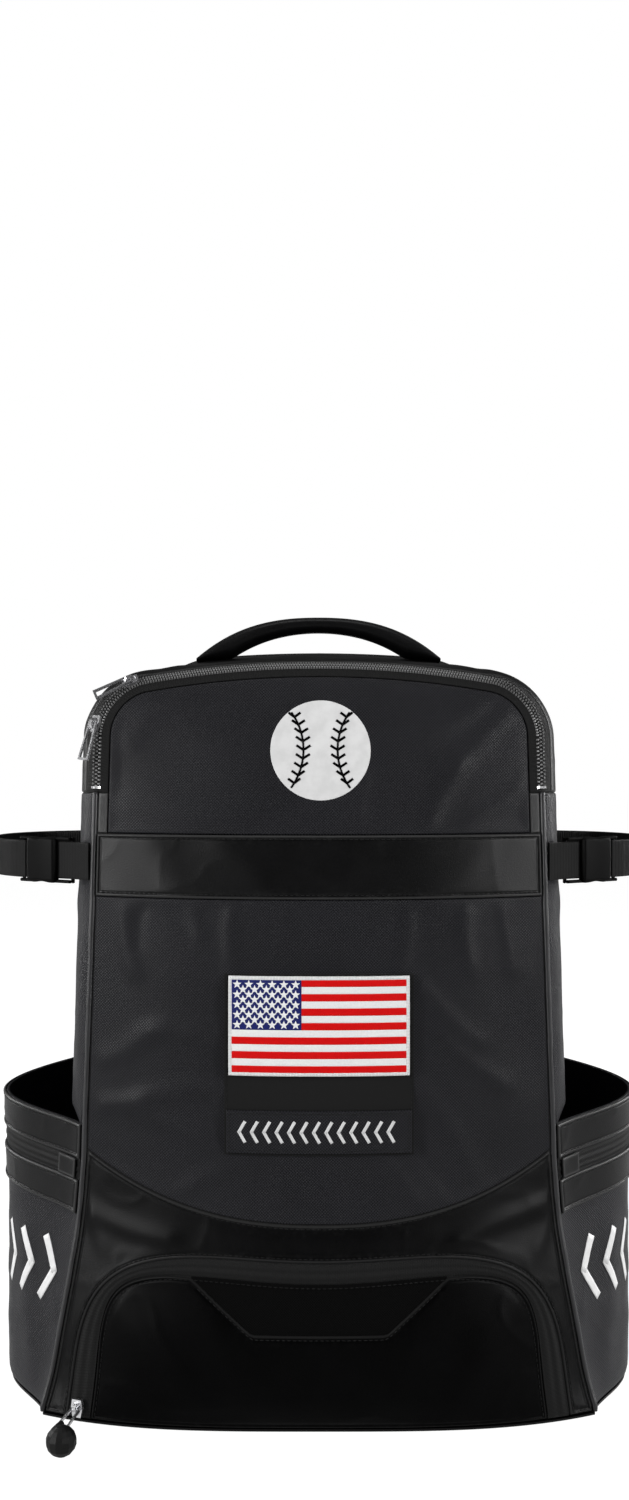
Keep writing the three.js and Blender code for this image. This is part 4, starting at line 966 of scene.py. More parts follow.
# Painted highlight: the piping is the satin trim with its grey raised six-fold, for the light line that
# runs along it.
PIPING = satin("piping", 6.0, 0.35, 0.02)
PADDED = padded_mesh()
VENT = vent_mesh()
WEBBING = rib_weave("webbing", 1.35, 0.0038, 0.6, 0.0005)
TAPE = rib_weave("zip_tape", 1.1, 0.0014, 0.72, 0.00015)
THREAD = rib_weave("thread", 0.5, 0.0025, 0.6, 0.0001)
LOOP = loop_tape()
RED = thread("flag_red", (0.42, 0.001, 0.001, 1), (0.85, 0.003, 0.004, 1), math.pi / 2)
WHITE = thread("flag_white", grey(0.6), grey(0.92), math.pi / 2)
BLUE = thread("flag_blue", (0.005, 0.008, 0.07, 1), (0.012, 0.02, 0.16, 1))
BORDER = thread("flag_border", grey(0.45), grey(0.8), 0.0, 0.9)
PLASTIC = moulded_plastic("buckle_plastic", 0.002, 0.45, 0.04)
RUBBER = moulded_plastic("pull_rubber", 0.004, 0.5, 0.12)
COIL = moulded_plastic("zip_coil", 0.09, 0.28, 0.6)
METAL = zip_metal()
PRINT = printed_white()


# The camera stands level in front of the bag, where the photograph was taken.
PHOTO_HEIGHT = 1500
FOCAL_PIXELS = 1613.0
CAMERA_PLACE = (-2.8, -1112.0, 420.0)
SENSOR = 36.0


def make_camera():
    data = bpy.data.cameras.new("camera")
    data.sensor_fit = "AUTO"
    data.sensor_width = SENSOR
    data.lens = SENSOR * FOCAL_PIXELS / PHOTO_HEIGHT
    data.clip_start = 0.05
    data.clip_end = 50.0
    camera = bpy.data.objects.new("camera", data)
    camera.location = [v * MM for v in CAMERA_PLACE]
    camera.rotation_euler = (math.pi / 2, 0, 0)
    bpy.context.scene.collection.objects.link(camera)
    bpy.context.scene.camera = camera


def make_light(name, place, target, size, power):
    data = bpy.data.lights.new(name, "AREA")
    data.shape = "RECTANGLE"
    data.size, data.size_y = size
    data.energy = power
    light = bpy.data.objects.new(name, data)
    light.location = place
    aim = np.array(target) - np.array(place)
    yaw = math.atan2(aim[0], -aim[1])
    pitch = math.atan2(math.hypot(aim[0], aim[1]), -aim[2])
    light.rotation_euler = (pitch, 0, yaw + math.pi)
    bpy.context.scene.collection.objects.link(light)


def make_world():
    """White where the camera looks past the bag, and dim where it only lights the bag."""
    world = bpy.data.worlds.new("studio")
    world.use_nodes = True
    tree = world.node_tree
    background = tree.nodes["Background"]
    background.inputs["Color"].default_value = (1.0, 1.0, 1.0, 1.0)
    strength = seen_or_lighting(tree, WORLD_LIGHT, WORLD_SEEN)
    tree.links.new(strength, background.inputs["Strength"])
    bpy.context.scene.world = world
    bpy.context.scene.view_settings.view_transform = "Standard"


def make_floor():
    size = 6.0
    mesh = bpy.data.meshes.new("floor")
    corners = [(-size, -size, 0), (size, -size, 0), (size, size, 0), (-size, size, 0)]
    mesh.from_pydata(corners, [], [(0, 1, 2, 3)])
    mesh.materials.append(pale_floor())
    floor = bpy.data.objects.new("floor", mesh)
    bpy.context.scene.collection.objects.link(floor)


def make_studio():
    make_world()
    make_floor()
    make_light("left_strip", (-1.5, -0.95, 0.8), (-0.05, 0.0, 0.25), (0.24, 1.3), 40.0)
    make_light("right_strip", (1.5, -0.95, 0.85), (0.05, 0.0, 0.25), (0.24, 1.3), 34.0)
    make_light("top_softbox", (0.0, 0.1, 2.0), (0.0, 0.0, 0.3), (1.2, 0.5), 7.0)
    make_light("left_rear_strip", (-1.7, 0.8, 0.9), (0.0, 0.05, 0.25), (0.3, 1.3), 26.0)
    make_light("right_rear_strip", (1.7, 0.8, 0.9), (0.0, 0.05, 0.25), (0.3, 1.3), 36.0)


make_camera()
make_studio()


# The front face.
FACE = dict(normal_at=front_normal, flat_weave=True)


def soft_noise(points):
    a, b = points[..., 0] + points[..., 1], points[..., 2]
    return 1.15 * noise(a + 100, b + 40, 46.0) + 0.12 * wrinkles(a, b, 15.0)


def beside_field(x, z):
    """1 on the open cloth and less where the loop field holds it flat."""
    out = np.maximum(np.abs(x) - FIELD["half_width"], np.maximum(FIELD["bottom"] - z, z - FIELD["top"]))
    return mix(0.35, 1.0, smooth_step(-2, 18, out))


def front_relief(points, edge):
    x, z = points[..., 0], points[..., 2]
    return fold_relief(FRONT_FOLDS, x, z) + soft_noise(points) * beside_field(x, z)


def satin_relief(rows, crease=0.3, size=24.0):
    def relief(points, edge):
        a, b = points[..., 0], points[..., 2]
        broad = 0.4 * noise(a + 9, b - 60, 38.0)
        return fold_relief(rows, a, b) + broad + crease * wrinkles(a, b, size, 5.0)
    return relief


def face_strip(low, high, inset):
    def surface(u, v):
        share = 2 * u - 1
        z = mix(low(share), high(share), v)
        return front_point(share * (seam_half_width(z) - inset), z)
    return surface


def yoke_seam(share):
    return mix(YOKE_SEAM_MIDDLE, YOKE_SEAM_SIDE, np.minimum(1, np.abs(share)) ** YOKE_POWER)


def front_top_surface(u, v):
    inset = MAIN_ZIP_FRONT_WIDTH + GAP
    top_x, top_z = outline_point(FRONT_OUTLINE, (2 * u - 1) * CORNER_SHARE, inset)
    z = mix(BAND_TOP + GAP, top_z, v)
    width = (seam_half_width(z) - inset) / (seam_half_width(corner_foot(FRONT_OUTLINE)) - inset)
    return front_point(top_x * width, z)


def arch_flare(z, height):
    return 1 + ARCH_FLARE * (1 - z / height) ** 2


def arch_sag(x, half_width):
    return ARCH_SAG * np.exp(-((x / (ARCH_SAG_REACH * half_width)) ** 2))


def arch_point(turn, half_width, height, power):
    corner = 0.5 ** (1 / power)
    q = np.abs(turn)
    near = 2 * corner * np.minimum(q, 1 - q)
    far = np.maximum(0, 1 - near ** power) ** (1 / power)
    x = np.sign(turn) * half_width * np.where(q < 0.5, near, far)
    z = height * np.where(q < 0.5, far, near)
    return x * arch_flare(z, height), np.maximum(WALL_FOOT, z - arch_sag(x, half_width))


def outer_arch(turn, grow=0.0):
    return arch_point(turn, ARCH_HALF_WIDTH + grow, ARCH_HEIGHT + grow, OUTER_ARCH_POWER)


def inner_arch(turn, grow=0.0):
    return arch_point(turn, FLAP_HALF_WIDTH + grow, FLAP_HEIGHT + grow, FLAP_ARCH_POWER)


def lower_edge(turn):
    q = np.abs(turn)
    top = yoke_seam(1.0) - GAP
    z = np.where(q < EDGE_TURN, yoke_seam(q / EDGE_TURN) - GAP,
                 mix(top, WALL_FOOT, np.clip((q - EDGE_TURN) / (1 - EDGE_TURN), 0, 1)))
    share = np.minimum(1, q / EDGE_TURN)
    return np.sign(turn) * share * (seam_half_width(z) - PIPING_CLEAR), z


def lower_surface(u, v):
    arch_x, arch_z = outer_arch(2 * u - 1, GAP)
    edge_x, edge_z = lower_edge(2 * u - 1)
    return front_point(mix(arch_x, edge_x, v), mix(arch_z, edge_z, v))


def shoe_zip_surface(u, v):
    inner_x, inner_z = inner_arch(2 * u - 1, GAP)
    outer_x, outer_z = outer_arch(2 * u - 1)
    return front_point(mix(inner_x, outer_x, v), mix(inner_z, outer_z, v))


def vent_edge(x):
    run = VENT_TOP_HALF_WIDTH - VENT_BOTTOM_HALF_WIDTH
    share = np.clip((np.abs(x) - VENT_BOTTOM_HALF_WIDTH) / run, 0, 1)
    return mix(VENT_BOTTOM, FLAP_HEIGHT - VENT_TIP_DROP, share)


def flap_top(x):
    reach = np.clip(np.abs(x) / (FLAP_HALF_WIDTH + 0.5), 0, 1)
    drop = np.maximum(0, 1 - reach ** FLAP_ARCH_POWER) ** (1 / FLAP_ARCH_POWER)
    return (FLAP_HEIGHT - 0.5 * GAP) * drop - arch_sag(x, FLAP_HALF_WIDTH)


def flap_surface(u, v):
    x = np.sin((2 * u - 1) * math.pi / 2) * FLAP_HALF_WIDTH
    z = mix(WALL_FOOT, np.minimum(flap_top(x), vent_edge(x)), v)
    return front_point(x * arch_flare(z, FLAP_HEIGHT), z)


def vent_surface(u, v):
    x = (2 * u - 1) * VENT_TOP_HALF_WIDTH
    z = mix(vent_edge(x) - 1.0, np.maximum(flap_top(x), vent_edge(x) - 0.6), v)
    return front_point(x * arch_flare(z, FLAP_HEIGHT), z)


def across_share(points):
    """Each grid point's share of the way across its strip, by its column."""
    return np.broadcast_to(np.linspace(0, 1, points.shape[1]), points.shape[:2])


def zip_ribs(points, edge):
    """A covered zip: two raised lips with a narrow slit between them, and a flat hem each side."""
    place = across_share(points)
    lips = hump(place, 0.36, 0.12) + hump(place, 0.64, 0.12)
    hems = hump(place, 0.08, 0.06) + hump(place, 0.92, 0.06)
    return 0.95 * lips + 0.4 * hems - 0.3


def make_front():
    sew("front_top", front_top_surface, (275, 100), FABRIC, "dotted_fabric", ["front_top_panel"],
        relief=front_relief, step=2.0, **FACE)
    main = face_strip(lambda s: yoke_seam(s) + GAP, lambda s: BAND_BOTTOM - GAP, PIPING_CLEAR)
    sew("front_main", main, (300, 190), FABRIC, "dotted_fabric", ["front_main_panel"],
        relief=front_relief, step=2.0, roll=0.7, **FACE)
    band = face_strip(lambda s: BAND_BOTTOM, lambda s: BAND_TOP, PIPING_CLEAR)
    sew("cloth_front_band", band, (300, BAND_HEIGHT), SATIN, "satin_trim", ["front_band"],
        relief=satin_relief(BAND_FOLDS, 0.2), lift=BAND_RAISE, roll=1.0, step=1.8, ease=5,
        hemmed=True, **FACE)
    sew("front_lower", lower_surface, (620, 45), HALF_SHADED_SATIN, "satin_trim", ["front_lower_panel"],
        relief=satin_relief(LOWER_FOLDS, 0.45, 20.0), step=2.0, round_foot=True, hemmed=True,
        **FACE)
    sew("cloth_shoe_flap", flap_surface, (300, 90), SHADED_SATIN, "satin_trim", ["shoe_flap"],
        relief=satin_relief(FLAP_FOLDS, 0.35, 34.0), step=2.0, round_foot=True, hemmed=True,
        **FACE)
    sew("cloth_shoe_vent", vent_surface, (158, 30), VENT, "vent_mesh", ["shoe_vent"], lift=-0.7,
        thickness=1.0, roll=0.4, step=2.0, **FACE)
    sew("cloth_shoe_zip", shoe_zip_surface, (520, 12.5), TAPE, "zip_tape", ["shoe_zip"], relief=zip_ribs,
        lift=0.2, roll=0.6, step=0.8, step_along=2.4, ease=0.8, round_foot=True,
        normal_at=front_normal)
    for name, side in SIDES:
        def tab(u, v, side=side):
            z = mix(BAND_TOP + GAP, MAIN_ZIP_END - GAP, v)
            inset = mix(MAIN_ZIP_FRONT_WIDTH, PIPING_CLEAR, u)
            return front_point(side * (seam_half_width(z) - inset), z)
        sew("zip_end_" + name, tab, (6.2, 25), SATIN, "satin_trim", ["zip_end_tab_" + name],
            roll=0.7, step=1.5, **FACE)


make_front()


# Piping down both front seams, drawn in at its foot like the walls beside it.
SEAM_TUCK = 0.7


def make_piping():
    for name, side in SIDES:
        z = np.linspace(WALL_FOOT, MAIN_ZIP_END, 200)
        path = front_point(side * seam_half_width(z), z)
        wobble = 0.18 * noise(z, z * 0 + 3 * side, 16.0)
        path[:, 0] += side * wobble
        tuck = SEAM_TUCK * foot_tuck(z)
        path[:, 0] -= side * tuck
        path[:, 1] += tuck
        sweep("piped_seam_" + name, path, (1, 0, 0), ring(PIPING_RADIUS, PIPING_RADIUS, 12), PIPING,
              ["piping_" + name], wide=1 + 0.05 * noise(z, 0 * z, 9.0))


make_piping()


# The main zip over the top corner, with its teeth.
ZIP_STATION = side_station(MAIN_ZIP_END)
ZIP_LENGTH = 485


def main_zip_surface(u, v):
    s = (2 * u - 1) * ZIP_STATION
    a = front_point(*outline_point(FRONT_OUTLINE, s, MAIN_ZIP_FRONT_WIDTH))
    b = front_point(*outline_point(FRONT_OUTLINE, s))
    c = gusset_point(s, depth_share(s, MAIN_ZIP_SIDE_WIDTH))
    v = np.asarray(v, float)[..., None]
    return a * (1 - v) ** 2 + b * (2 * v * (1 - v)) + c * v ** 2


def surface_frame(surface, u, v):
    """Points, unit directions along u and across v, and outward normals on a surface."""
    step = 1e-3
    point = surface(u, v)
    along = unit(surface(u + step, v) - surface(u - step, v))
    across = unit(surface(u, v + step) - surface(u, v - step))
    normal = unit(np.cross(along, across))
    return point, along, across, normal * np.sign(outwardness(normal, point))[..., None]


BOX_FACES = [(0, 1, 2, 3), (7, 6, 5, 4), (0, 4, 5, 1), (1, 5, 6, 2), (2, 6, 7, 3), (3, 7, 4, 0)]


def add_box(points, faces, frame, size, taper):
    """A small box standing on a surface frame, narrower at its top."""
    centre, along, across, normal = frame
    length, width, height = size
    base = len(points)
    for rise, share in ((0.0, 1.0), (height, taper)):
        for sa, sw in ((-1, -1), (1, -1), (1, 1), (-1, 1)):
            points.append(centre + along * (sa * length / 2 * share)
                          + across * (sw * width / 2 * share) + normal * rise)
    faces.extend(tuple(base + i for i in face) for face in BOX_FACES)


def make_teeth(name, surface, length, rows, tooth, pitch, lift):
    """Rows of small zip teeth; each row has a place across the zip and an offset along it."""
    points, faces = [], []
    count = int(length / pitch)
    for place, shift in rows:
        u = (np.arange(count) + shift) / count
        u = u[(u > 0.004) & (u < 0.996)]
        for centre, *ways in zip(*surface_frame(surface, u, np.full_like(u, place))):
            add_box(points, faces, (centre + ways[-1] * lift, *ways), tooth, 0.62)
    make_piece(name, points, faces, COIL, smooth=False)


def make_stops(name, surface, places, size):
    points, faces = [], []
    for frame in zip(*surface_frame(surface, np.array(places), np.full(len(places), 0.5))):
        add_box(points, faces, frame, size, 0.8)
    make_piece(name, points, faces, METAL, smooth=False)


def make_main_zip():
    sew("cloth_main_zip", main_zip_surface, (ZIP_LENGTH, 15), TAPE, "zip_tape", ["main_zip"],
        relief=lambda points, edge: 0.35 * hump(across_share(points), 0.5, 0.1), roll=0.7, step=1.0,
        step_along=2.4, ease=1.0)
    make_teeth("main_zip_teeth", main_zip_surface, ZIP_LENGTH,
               ((0.37, 0.25), (0.5, 0.75), (0.63, 0.25)), (1.25, 1.5, 1.1), 2.3, 0.1)
    make_stops("main_zip_stops", main_zip_surface, (0.006, 0.994), (1.8, 7.2, 1.5))


make_main_zip()


# The gusset: over the top and down the sides.
def sleeve_room(s):
    return SLEEVE_ROOM * sleeve_share(outline_point(FRONT_OUTLINE, s)[1])


def gusset_part(start, end, clear):
    def surface(u, v):
        s = mix(start, end, u)
        near = depth_share(s, clear + sleeve_room(s))
        far = 1 - depth_share(s, GAP + BACK_PADDING / 2)
        return gusset_point(s, mix(near, far, v))
    return surface


def top_relief(points, edge):
    x, y = points[..., 0], points[..., 1]
    rows = [(-95, -40, -60, 60, 12, 1.0), (95, -36, 66, 62, 12, 1.0), (-20, -30, 10, 66, 14, 0.7)]
    b = y + points[..., 2]
    return fold_relief(rows, x, y) + 0.4 * noise(x, b, 34.0) + 0.35 * wrinkles(x, b, 26.0, 4.0)


def side_relief(points, edge):
    y, z = points[..., 1], points[..., 2]
    rows = [(-50, 380, -30, 240, 8, 1.2), (-20, 385, 5, 250, 9, -1.0), (20, 380, 36, 230, 9, 1.2),
            (55, 385, 62, 240, 8, 0.9), (-60, 320, 50, 300, 9, 1.0), (-40, 230, 60, 214, 10, -0.8)]
    return fold_relief(rows, y, z) + 0.5 * noise(y + 7, z, 40.0) + 0.2 * wrinkles(y, z, 18.0)


def make_gusset():
    top = gusset_part(-ZIP_STATION, ZIP_STATION, MAIN_ZIP_SIDE_WIDTH + GAP)
    sew("cloth_top_panel", top, (480, 146), HALF_SHADED_SATIN, "satin_trim", ["top_panel"],
        relief=top_relief, step=2.6)
    for name, side in SIDES:
        surface = gusset_part(side * side_station(POCKET_FLOOR + GAP),
                              side * side_station(MAIN_ZIP_END - GAP), PIPING_CLEAR)
        sew("cloth_side_panel_" + name, surface, (320, 168), FABRIC, "dotted_fabric",
            ["side_panel_" + name], relief=side_relief, step=2.6)


make_gusset()


# Tapes sewn inside the bag behind its front seams and behind the ends of the main zip.
SEAM_TAPE_WIDTH = 6.0
SEAM_TAPE_INSET = 3.1
YOKE_TAPE_HALF = 4.0
CROSS_TAPE_HALF = 5.0


def make_seam_tapes():
    inside = dict(normal_at=front_normal, lift=-0.9, thickness=1.5, roll=0.3, step=1.6, step_along=3.0)
    ends = dict(lift=-1.0, thickness=1.6, roll=0.3)
    half = SEAM_TAPE_WIDTH / 2
    for name, arch in (("outer", outer_arch), ("inner", inner_arch)):
        def behind(u, v, arch=arch):
            return front_point(*arch(0.99 * (2 * u - 1), mix(-half, half, v)))
        sew("shoe_%s_tape" % name, behind, (520, SEAM_TAPE_WIDTH), TAPE, "zip_tape", round_foot=True,
            **inside)
    yoke = face_strip(lambda s: yoke_seam(s) - YOKE_TAPE_HALF, lambda s: yoke_seam(s) + YOKE_TAPE_HALF,
                      PIPING_CLEAR)
    sew("yoke_tape", yoke, (300, 2 * YOKE_TAPE_HALF), TAPE, "zip_tape", **inside)
    for name, side in SIDES:
        z = np.linspace(WALL_FOOT + 1, MAIN_ZIP_END + CROSS_TAPE_HALF, 120)
        path = front_point(side * seam_half_width(z), z)
        inward = SEAM_TAPE_INSET + SEAM_TUCK * foot_tuck(z)
        path[:, 0] -= side * inward
        path[:, 1] += inward
        sweep("seam_tape_" + name, path, (side, 1, 0), tape_section(SEAM_TAPE_WIDTH, 0.8), TAPE)

        def across_front(u, v, side=side):
            z = MAIN_ZIP_END + CROSS_TAPE_HALF * (2 * v - 1)
            return front_point(side * (seam_half_width(z) - mix(16.0, 1.5, u)), z)
        sew("zip_end_tape_" + name, across_front, (14, 2 * CROSS_TAPE_HALF), TAPE, "zip_tape",
            normal_at=front_normal, step=1.5, **ends)

        def across_side(u, v, side=side):
            s = side * side_station(MAIN_ZIP_END + CROSS_TAPE_HALF * (2 * v - 1))
            return gusset_point(s, mix(depth_share(s, 1.5), 1 - depth_share(s, 4.0), u))
        sew("side_top_tape_" + name, across_side, (165, 2 * CROSS_TAPE_HALF), TAPE, "zip_tape", step=2.5,
            **ends)


make_seam_tapes()


# Bat sleeves.
def band_top(depth):
    return POCKET_HEIGHT + POCKET_TOP_RISE * depth


def zip_top(depth):
    return band_top(depth) - UPPER_BAND_HEIGHT


def zip_foot(depth):
    return zip_top(depth) - POCKET_ZIP_HEIGHT


def band_foot(depth):
    return zip_foot(depth) - LOWER_BAND_HEIGHT


BAND_TRIM = 0.012


def pocket_strip(side, low, high, trim=0.0):
    def surface(u, v):
        depth = mix(POCKET_START + trim, POCKET_END - trim, u)
        return pocket_point(side, depth, mix(low(depth), high(depth), v))
    return surface


def pocket_relief(points, edge):
    """Folds and wrinkles of a sleeve's wall, which the bands above hold flat."""
    y, z = points[..., 1], points[..., 2]
    rows = [(-60, 20, -40, 110, 10, 1.2), (-10, 10, 0, 100, 12, 1.0), (40, 15, 46, 105, 12, 1.2),
            (-75, 60, -20, 40, 9, 0.8), (10, 60, 70, 44, 10, 0.7)]
    loose = fold_relief(rows, y, z) + 0.5 * noise(y, z + 5, 36.0) + 0.25 * wrinkles(y + 3, z, 20.0)
    return loose * smooth_step(122, 100, z)


def coil_ridges(points, edge):
    """A covered coil zip: fine ridges along the tape, highest at its middle."""
    place = across_share(points)
    return 0.3 * np.cos(2 * math.pi * 4.5 * (place - 0.5)) + 0.35 * hump(place, 0.5, 0.14)


def make_pockets():
    for name, side in SIDES:
        wall = pocket_strip(side, lambda d: WALL_FOOT + 0 * d, band_top)
        sew("cloth_bat_pocket_" + name, wall, (POCKET_WALL_RUN, 178), FABRIC, "dotted_fabric",
            ["bat_pocket_" + name], step=2.4, roll=0.9, round_foot=True, relief=pocket_relief)
        for row, low, high, width in (("upper", zip_top, band_top, UPPER_BAND_HEIGHT),
                                      ("lower", band_foot, zip_foot, LOWER_BAND_HEIGHT)):
            node = "pocket_%s_band_%s" % (row, name)
            sew("cloth_" + node, pocket_strip(side, low, high, BAND_TRIM), (POCKET_WALL_RUN, width),
                SATIN, "satin_trim", [node], relief=satin_relief([], 0.3, 16.0), lift=GAP + SKIN,
                thickness=SKIN, step=1.8, roll=0.8, ease=4, hemmed=True)
        tape = pocket_strip(side, zip_foot, zip_top, BAND_TRIM)
        sew("cloth_pocket_zip_" + name, tape, (POCKET_WALL_RUN, POCKET_ZIP_HEIGHT), TAPE, "zip_tape",
            ["pocket_zip_" + name], relief=coil_ridges, lift=GAP + 0.1, thickness=0.5, step=0.6,
            step_along=2.4, roll=0.4, ease=1.0)

        def garage(u, v, side=side):
            start = POCKET_START + SKIN_TRIM + GARAGE_INSET / POCKET_WALL_RUN
            depth = start + GARAGE_LENGTH * u / POCKET_WALL_RUN
            return pocket_point(side, depth, mix(zip_foot(depth) + 0.8, zip_top(depth) - 0.8, v))
        sew("cloth_pocket_zip_garage_" + name, garage, (GARAGE_LENGTH, 12.4), SATIN, "satin_trim",
            ["pocket_zip_garage_" + name], lift=GAP + 2.6, thickness=SKIN, step=1.2, roll=0.8)

        def floor_sheet(u, v, side=side):
            station = side * side_station(POCKET_FLOOR)
            depth = mix(0.12, 0.9, u)
            inside = gusset_point(station + 0 * u, depth)
            outside = pocket_point(side, depth, POCKET_FLOOR + 0 * u)
            x = side * mix(np.abs(inside[..., 0]) - CLOTH, np.abs(outside[..., 0]) - 2 * CLOTH, v)
            return stack(x, mix(inside[..., 1], outside[..., 1], v), POCKET_FLOOR - 1.4)
        sew("cloth_pocket_floor_" + name, floor_sheet, (136, 52), FABRIC, "dotted_fabric",
            ["pocket_floor_" + name], roll=0.6, step=4.0,
            normal_at=one_way(0, 0, 1))


make_pockets()


# The padded back, with raised pads and a sunk channel down the middle.
def back_surface(u, v):
    top_x, top_z = outline_point(BACK_OUTLINE, (2 * u - 1) * CORNER_SHARE, GAP)
    z = mix(WALL_FOOT, top_z, v)
    width = (back_half_width(z) - GAP) / (back_half_width(corner_foot(BACK_OUTLINE)) - GAP)
    return stack(top_x * width, back_y(z), z)


def back_relief(points, edge):
    x, z = np.abs(points[..., 0]), points[..., 2]
    channel = hump(x, 0, 11.0)
    rows = sum(hump(z, place, 3.2) for place in (120, 205, 290, 375))
    border = hump(edge, 20, 3.0)
    quilt = 2.4 - 2.6 * np.maximum(np.maximum(channel, np.minimum(1, rows)), border)
    return quilt + 0.3 * noise(x, z, 30.0)


def make_back():
    back = sew("cloth_back_panel", back_surface, (300, 480), PADDED, "padded_fabric", ["back_panel"],
               lift=BACK_PADDING / 2, thickness=BACK_PADDING, relief=back_relief, roll=2.6, step=3.2,
               ease=8, normal_at=one_way(0, 1, 0), flat_weave=True)
    s = np.linspace(-0.995, 0.995, 420)
    x, z = outline_point(BACK_OUTLINE, s)
    path = stack(x, back_y(z) - 0.3, np.maximum(z, WALL_FOOT))
    sweep("back_binding", resample(path, 2.5), (0, 1, 0), ring(2.6, 1.5, 12, 3.0), WEBBING)


make_back()


def base_outline():
    share = np.linspace(-1, 1, 60, endpoint=False)
    front = front_point(share * BASE_HALF_WIDTH, 0 * share)
    depth = np.linspace(0, 1, 60)
    right = pocket_point(1, depth, 0 * depth)
    left = pocket_point(-1, depth[::-1], 0 * depth)[:-1]
    return np.concatenate([front, right, left])[:, :2]


def make_base():
    outline = base_outline()
    centre = outline.mean(0)
    rims = [(0.7, 0.0), (0.975, 0.0), (0.99, 0.7), (0.99, CLOTH), (0.7, CLOTH)]
    count = len(outline)
    points = [[*centre, 0.0]]
    for share, z in rims:
        points += [[x, y, z] for x, y in mix(centre, outline, share)]
    points.append([*centre, CLOTH])
    faces = []
    for i in range(count):
        j = (i + 1) % count
        faces.append((0, 1 + j, 1 + i))
        for k in range(len(rims) - 1):
            a, b = 1 + k * count, 1 + (k + 1) * count
            faces.append((a + i, a + j, b + j, b + i))
        a = 1 + (len(rims) - 1) * count
        faces.append((a + i, a + j, len(points) - 1))
    make_piece("cloth_base_panel", points, faces, SATIN, ["base_panel"], smooth=False)


make_base()


# Patches on the front.
FIELD_LIFT = GAP + FIELD["thickness"]
PATCH_LIFT = FIELD_LIFT + GAP + LOWER_PATCH["thickness"]


def sew_patch(name, shape, *look, **how):
    half, bottom, top = shape["half_width"], shape["bottom"], shape["top"]
    sew(name, lambda u, v: front_point(mix(-half, half, u), mix(bottom, top, v)),
        (2 * half, top - bottom), *look, **how, **FACE)


def make_field():
    sew_patch("loop_field", FIELD, LOOP, "loop_tape", ["patch_field"], lift=FIELD_LIFT,
              thickness=1.4, roll=0.5, step=2.4)
    sew_patch("cloth_lower_patch", LOWER_PATCH, FABRIC, "dotted_fabric", ["lower_patch"],
              lift=PATCH_LIFT, thickness=LOWER_PATCH["thickness"], roll=0.6, step=2.0)


STRIPES = 13
CANTON_STRIPES = 7
CANTON_SHARE = 0.4
STAR_ROWS = 9
FLAG_BORDER = 2.4
FLAG_LIFT = FIELD_LIFT + GAP + FLAG["thickness"]


def flag_bar(name, x, z, raise_by, look):
    surface = lambda u, v: front_point(mix(x[0], x[1], u), mix(z[0], z[1], v))
    rough = lambda p, e: 0.12 * noise(p[..., 0], p[..., 2], 2.2) + 0.05
    sew(name, surface, (x[1] - x[0], z[1] - z[0]), look, "flag_thread", lift=FLAG_LIFT + raise_by,
        thickness=0.7 + raise_by, relief=rough, roll=0.35, step=1.0, ease=0.6, **FACE)


def star_points(x, z, radius):
    turn = np.arange(10) * math.pi / 5 + math.pi / 2
    reach = np.where(np.arange(10) % 2 == 0, radius, 0.42 * radius)
    return x + reach * np.cos(turn), z + reach * np.sin(turn)


def make_stars(x0, x1, z0, z1, lift):
    points, faces = [], []
    step_x, step_z = (x1 - x0) / 12, (z1 - z0) / (STAR_ROWS + 1)
    radius = 0.92 * step_z
    for row in range(STAR_ROWS):
        count, offset = (6, 1) if row % 2 == 0 else (5, 2)
        for column in range(count):
            x = x0 + step_x * (offset + 2 * column)
            z = z1 - step_z * (row + 1)
            star_x, star_z = star_points(x, z, radius)
            rim = front_point(star_x, star_z)
            normal = front_normal(rim)
            middle = front_point(np.array([x]), np.array([z]))
            base = len(points)
            points += list(rim + normal * (lift - 0.3)) + list(rim + normal * (lift + 0.12))
            points += list(middle + front_normal(middle) * (lift + 0.42))
            points += list(middle + front_normal(middle) * (lift - 0.3))
            for i in range(10):
                j = (i + 1) % 10
                faces.append((base + i, base + j, base + 10 + j, base + 10 + i))
                faces.append((base + 10 + i, base + 10 + j, base + 20))
                faces.append((base + j, base + i, base + 21))
    points = np.array(points)
    make_piece("flag_stars", points, faces, WHITE, weave=points[:, [0, 2]],
               smooth=False)


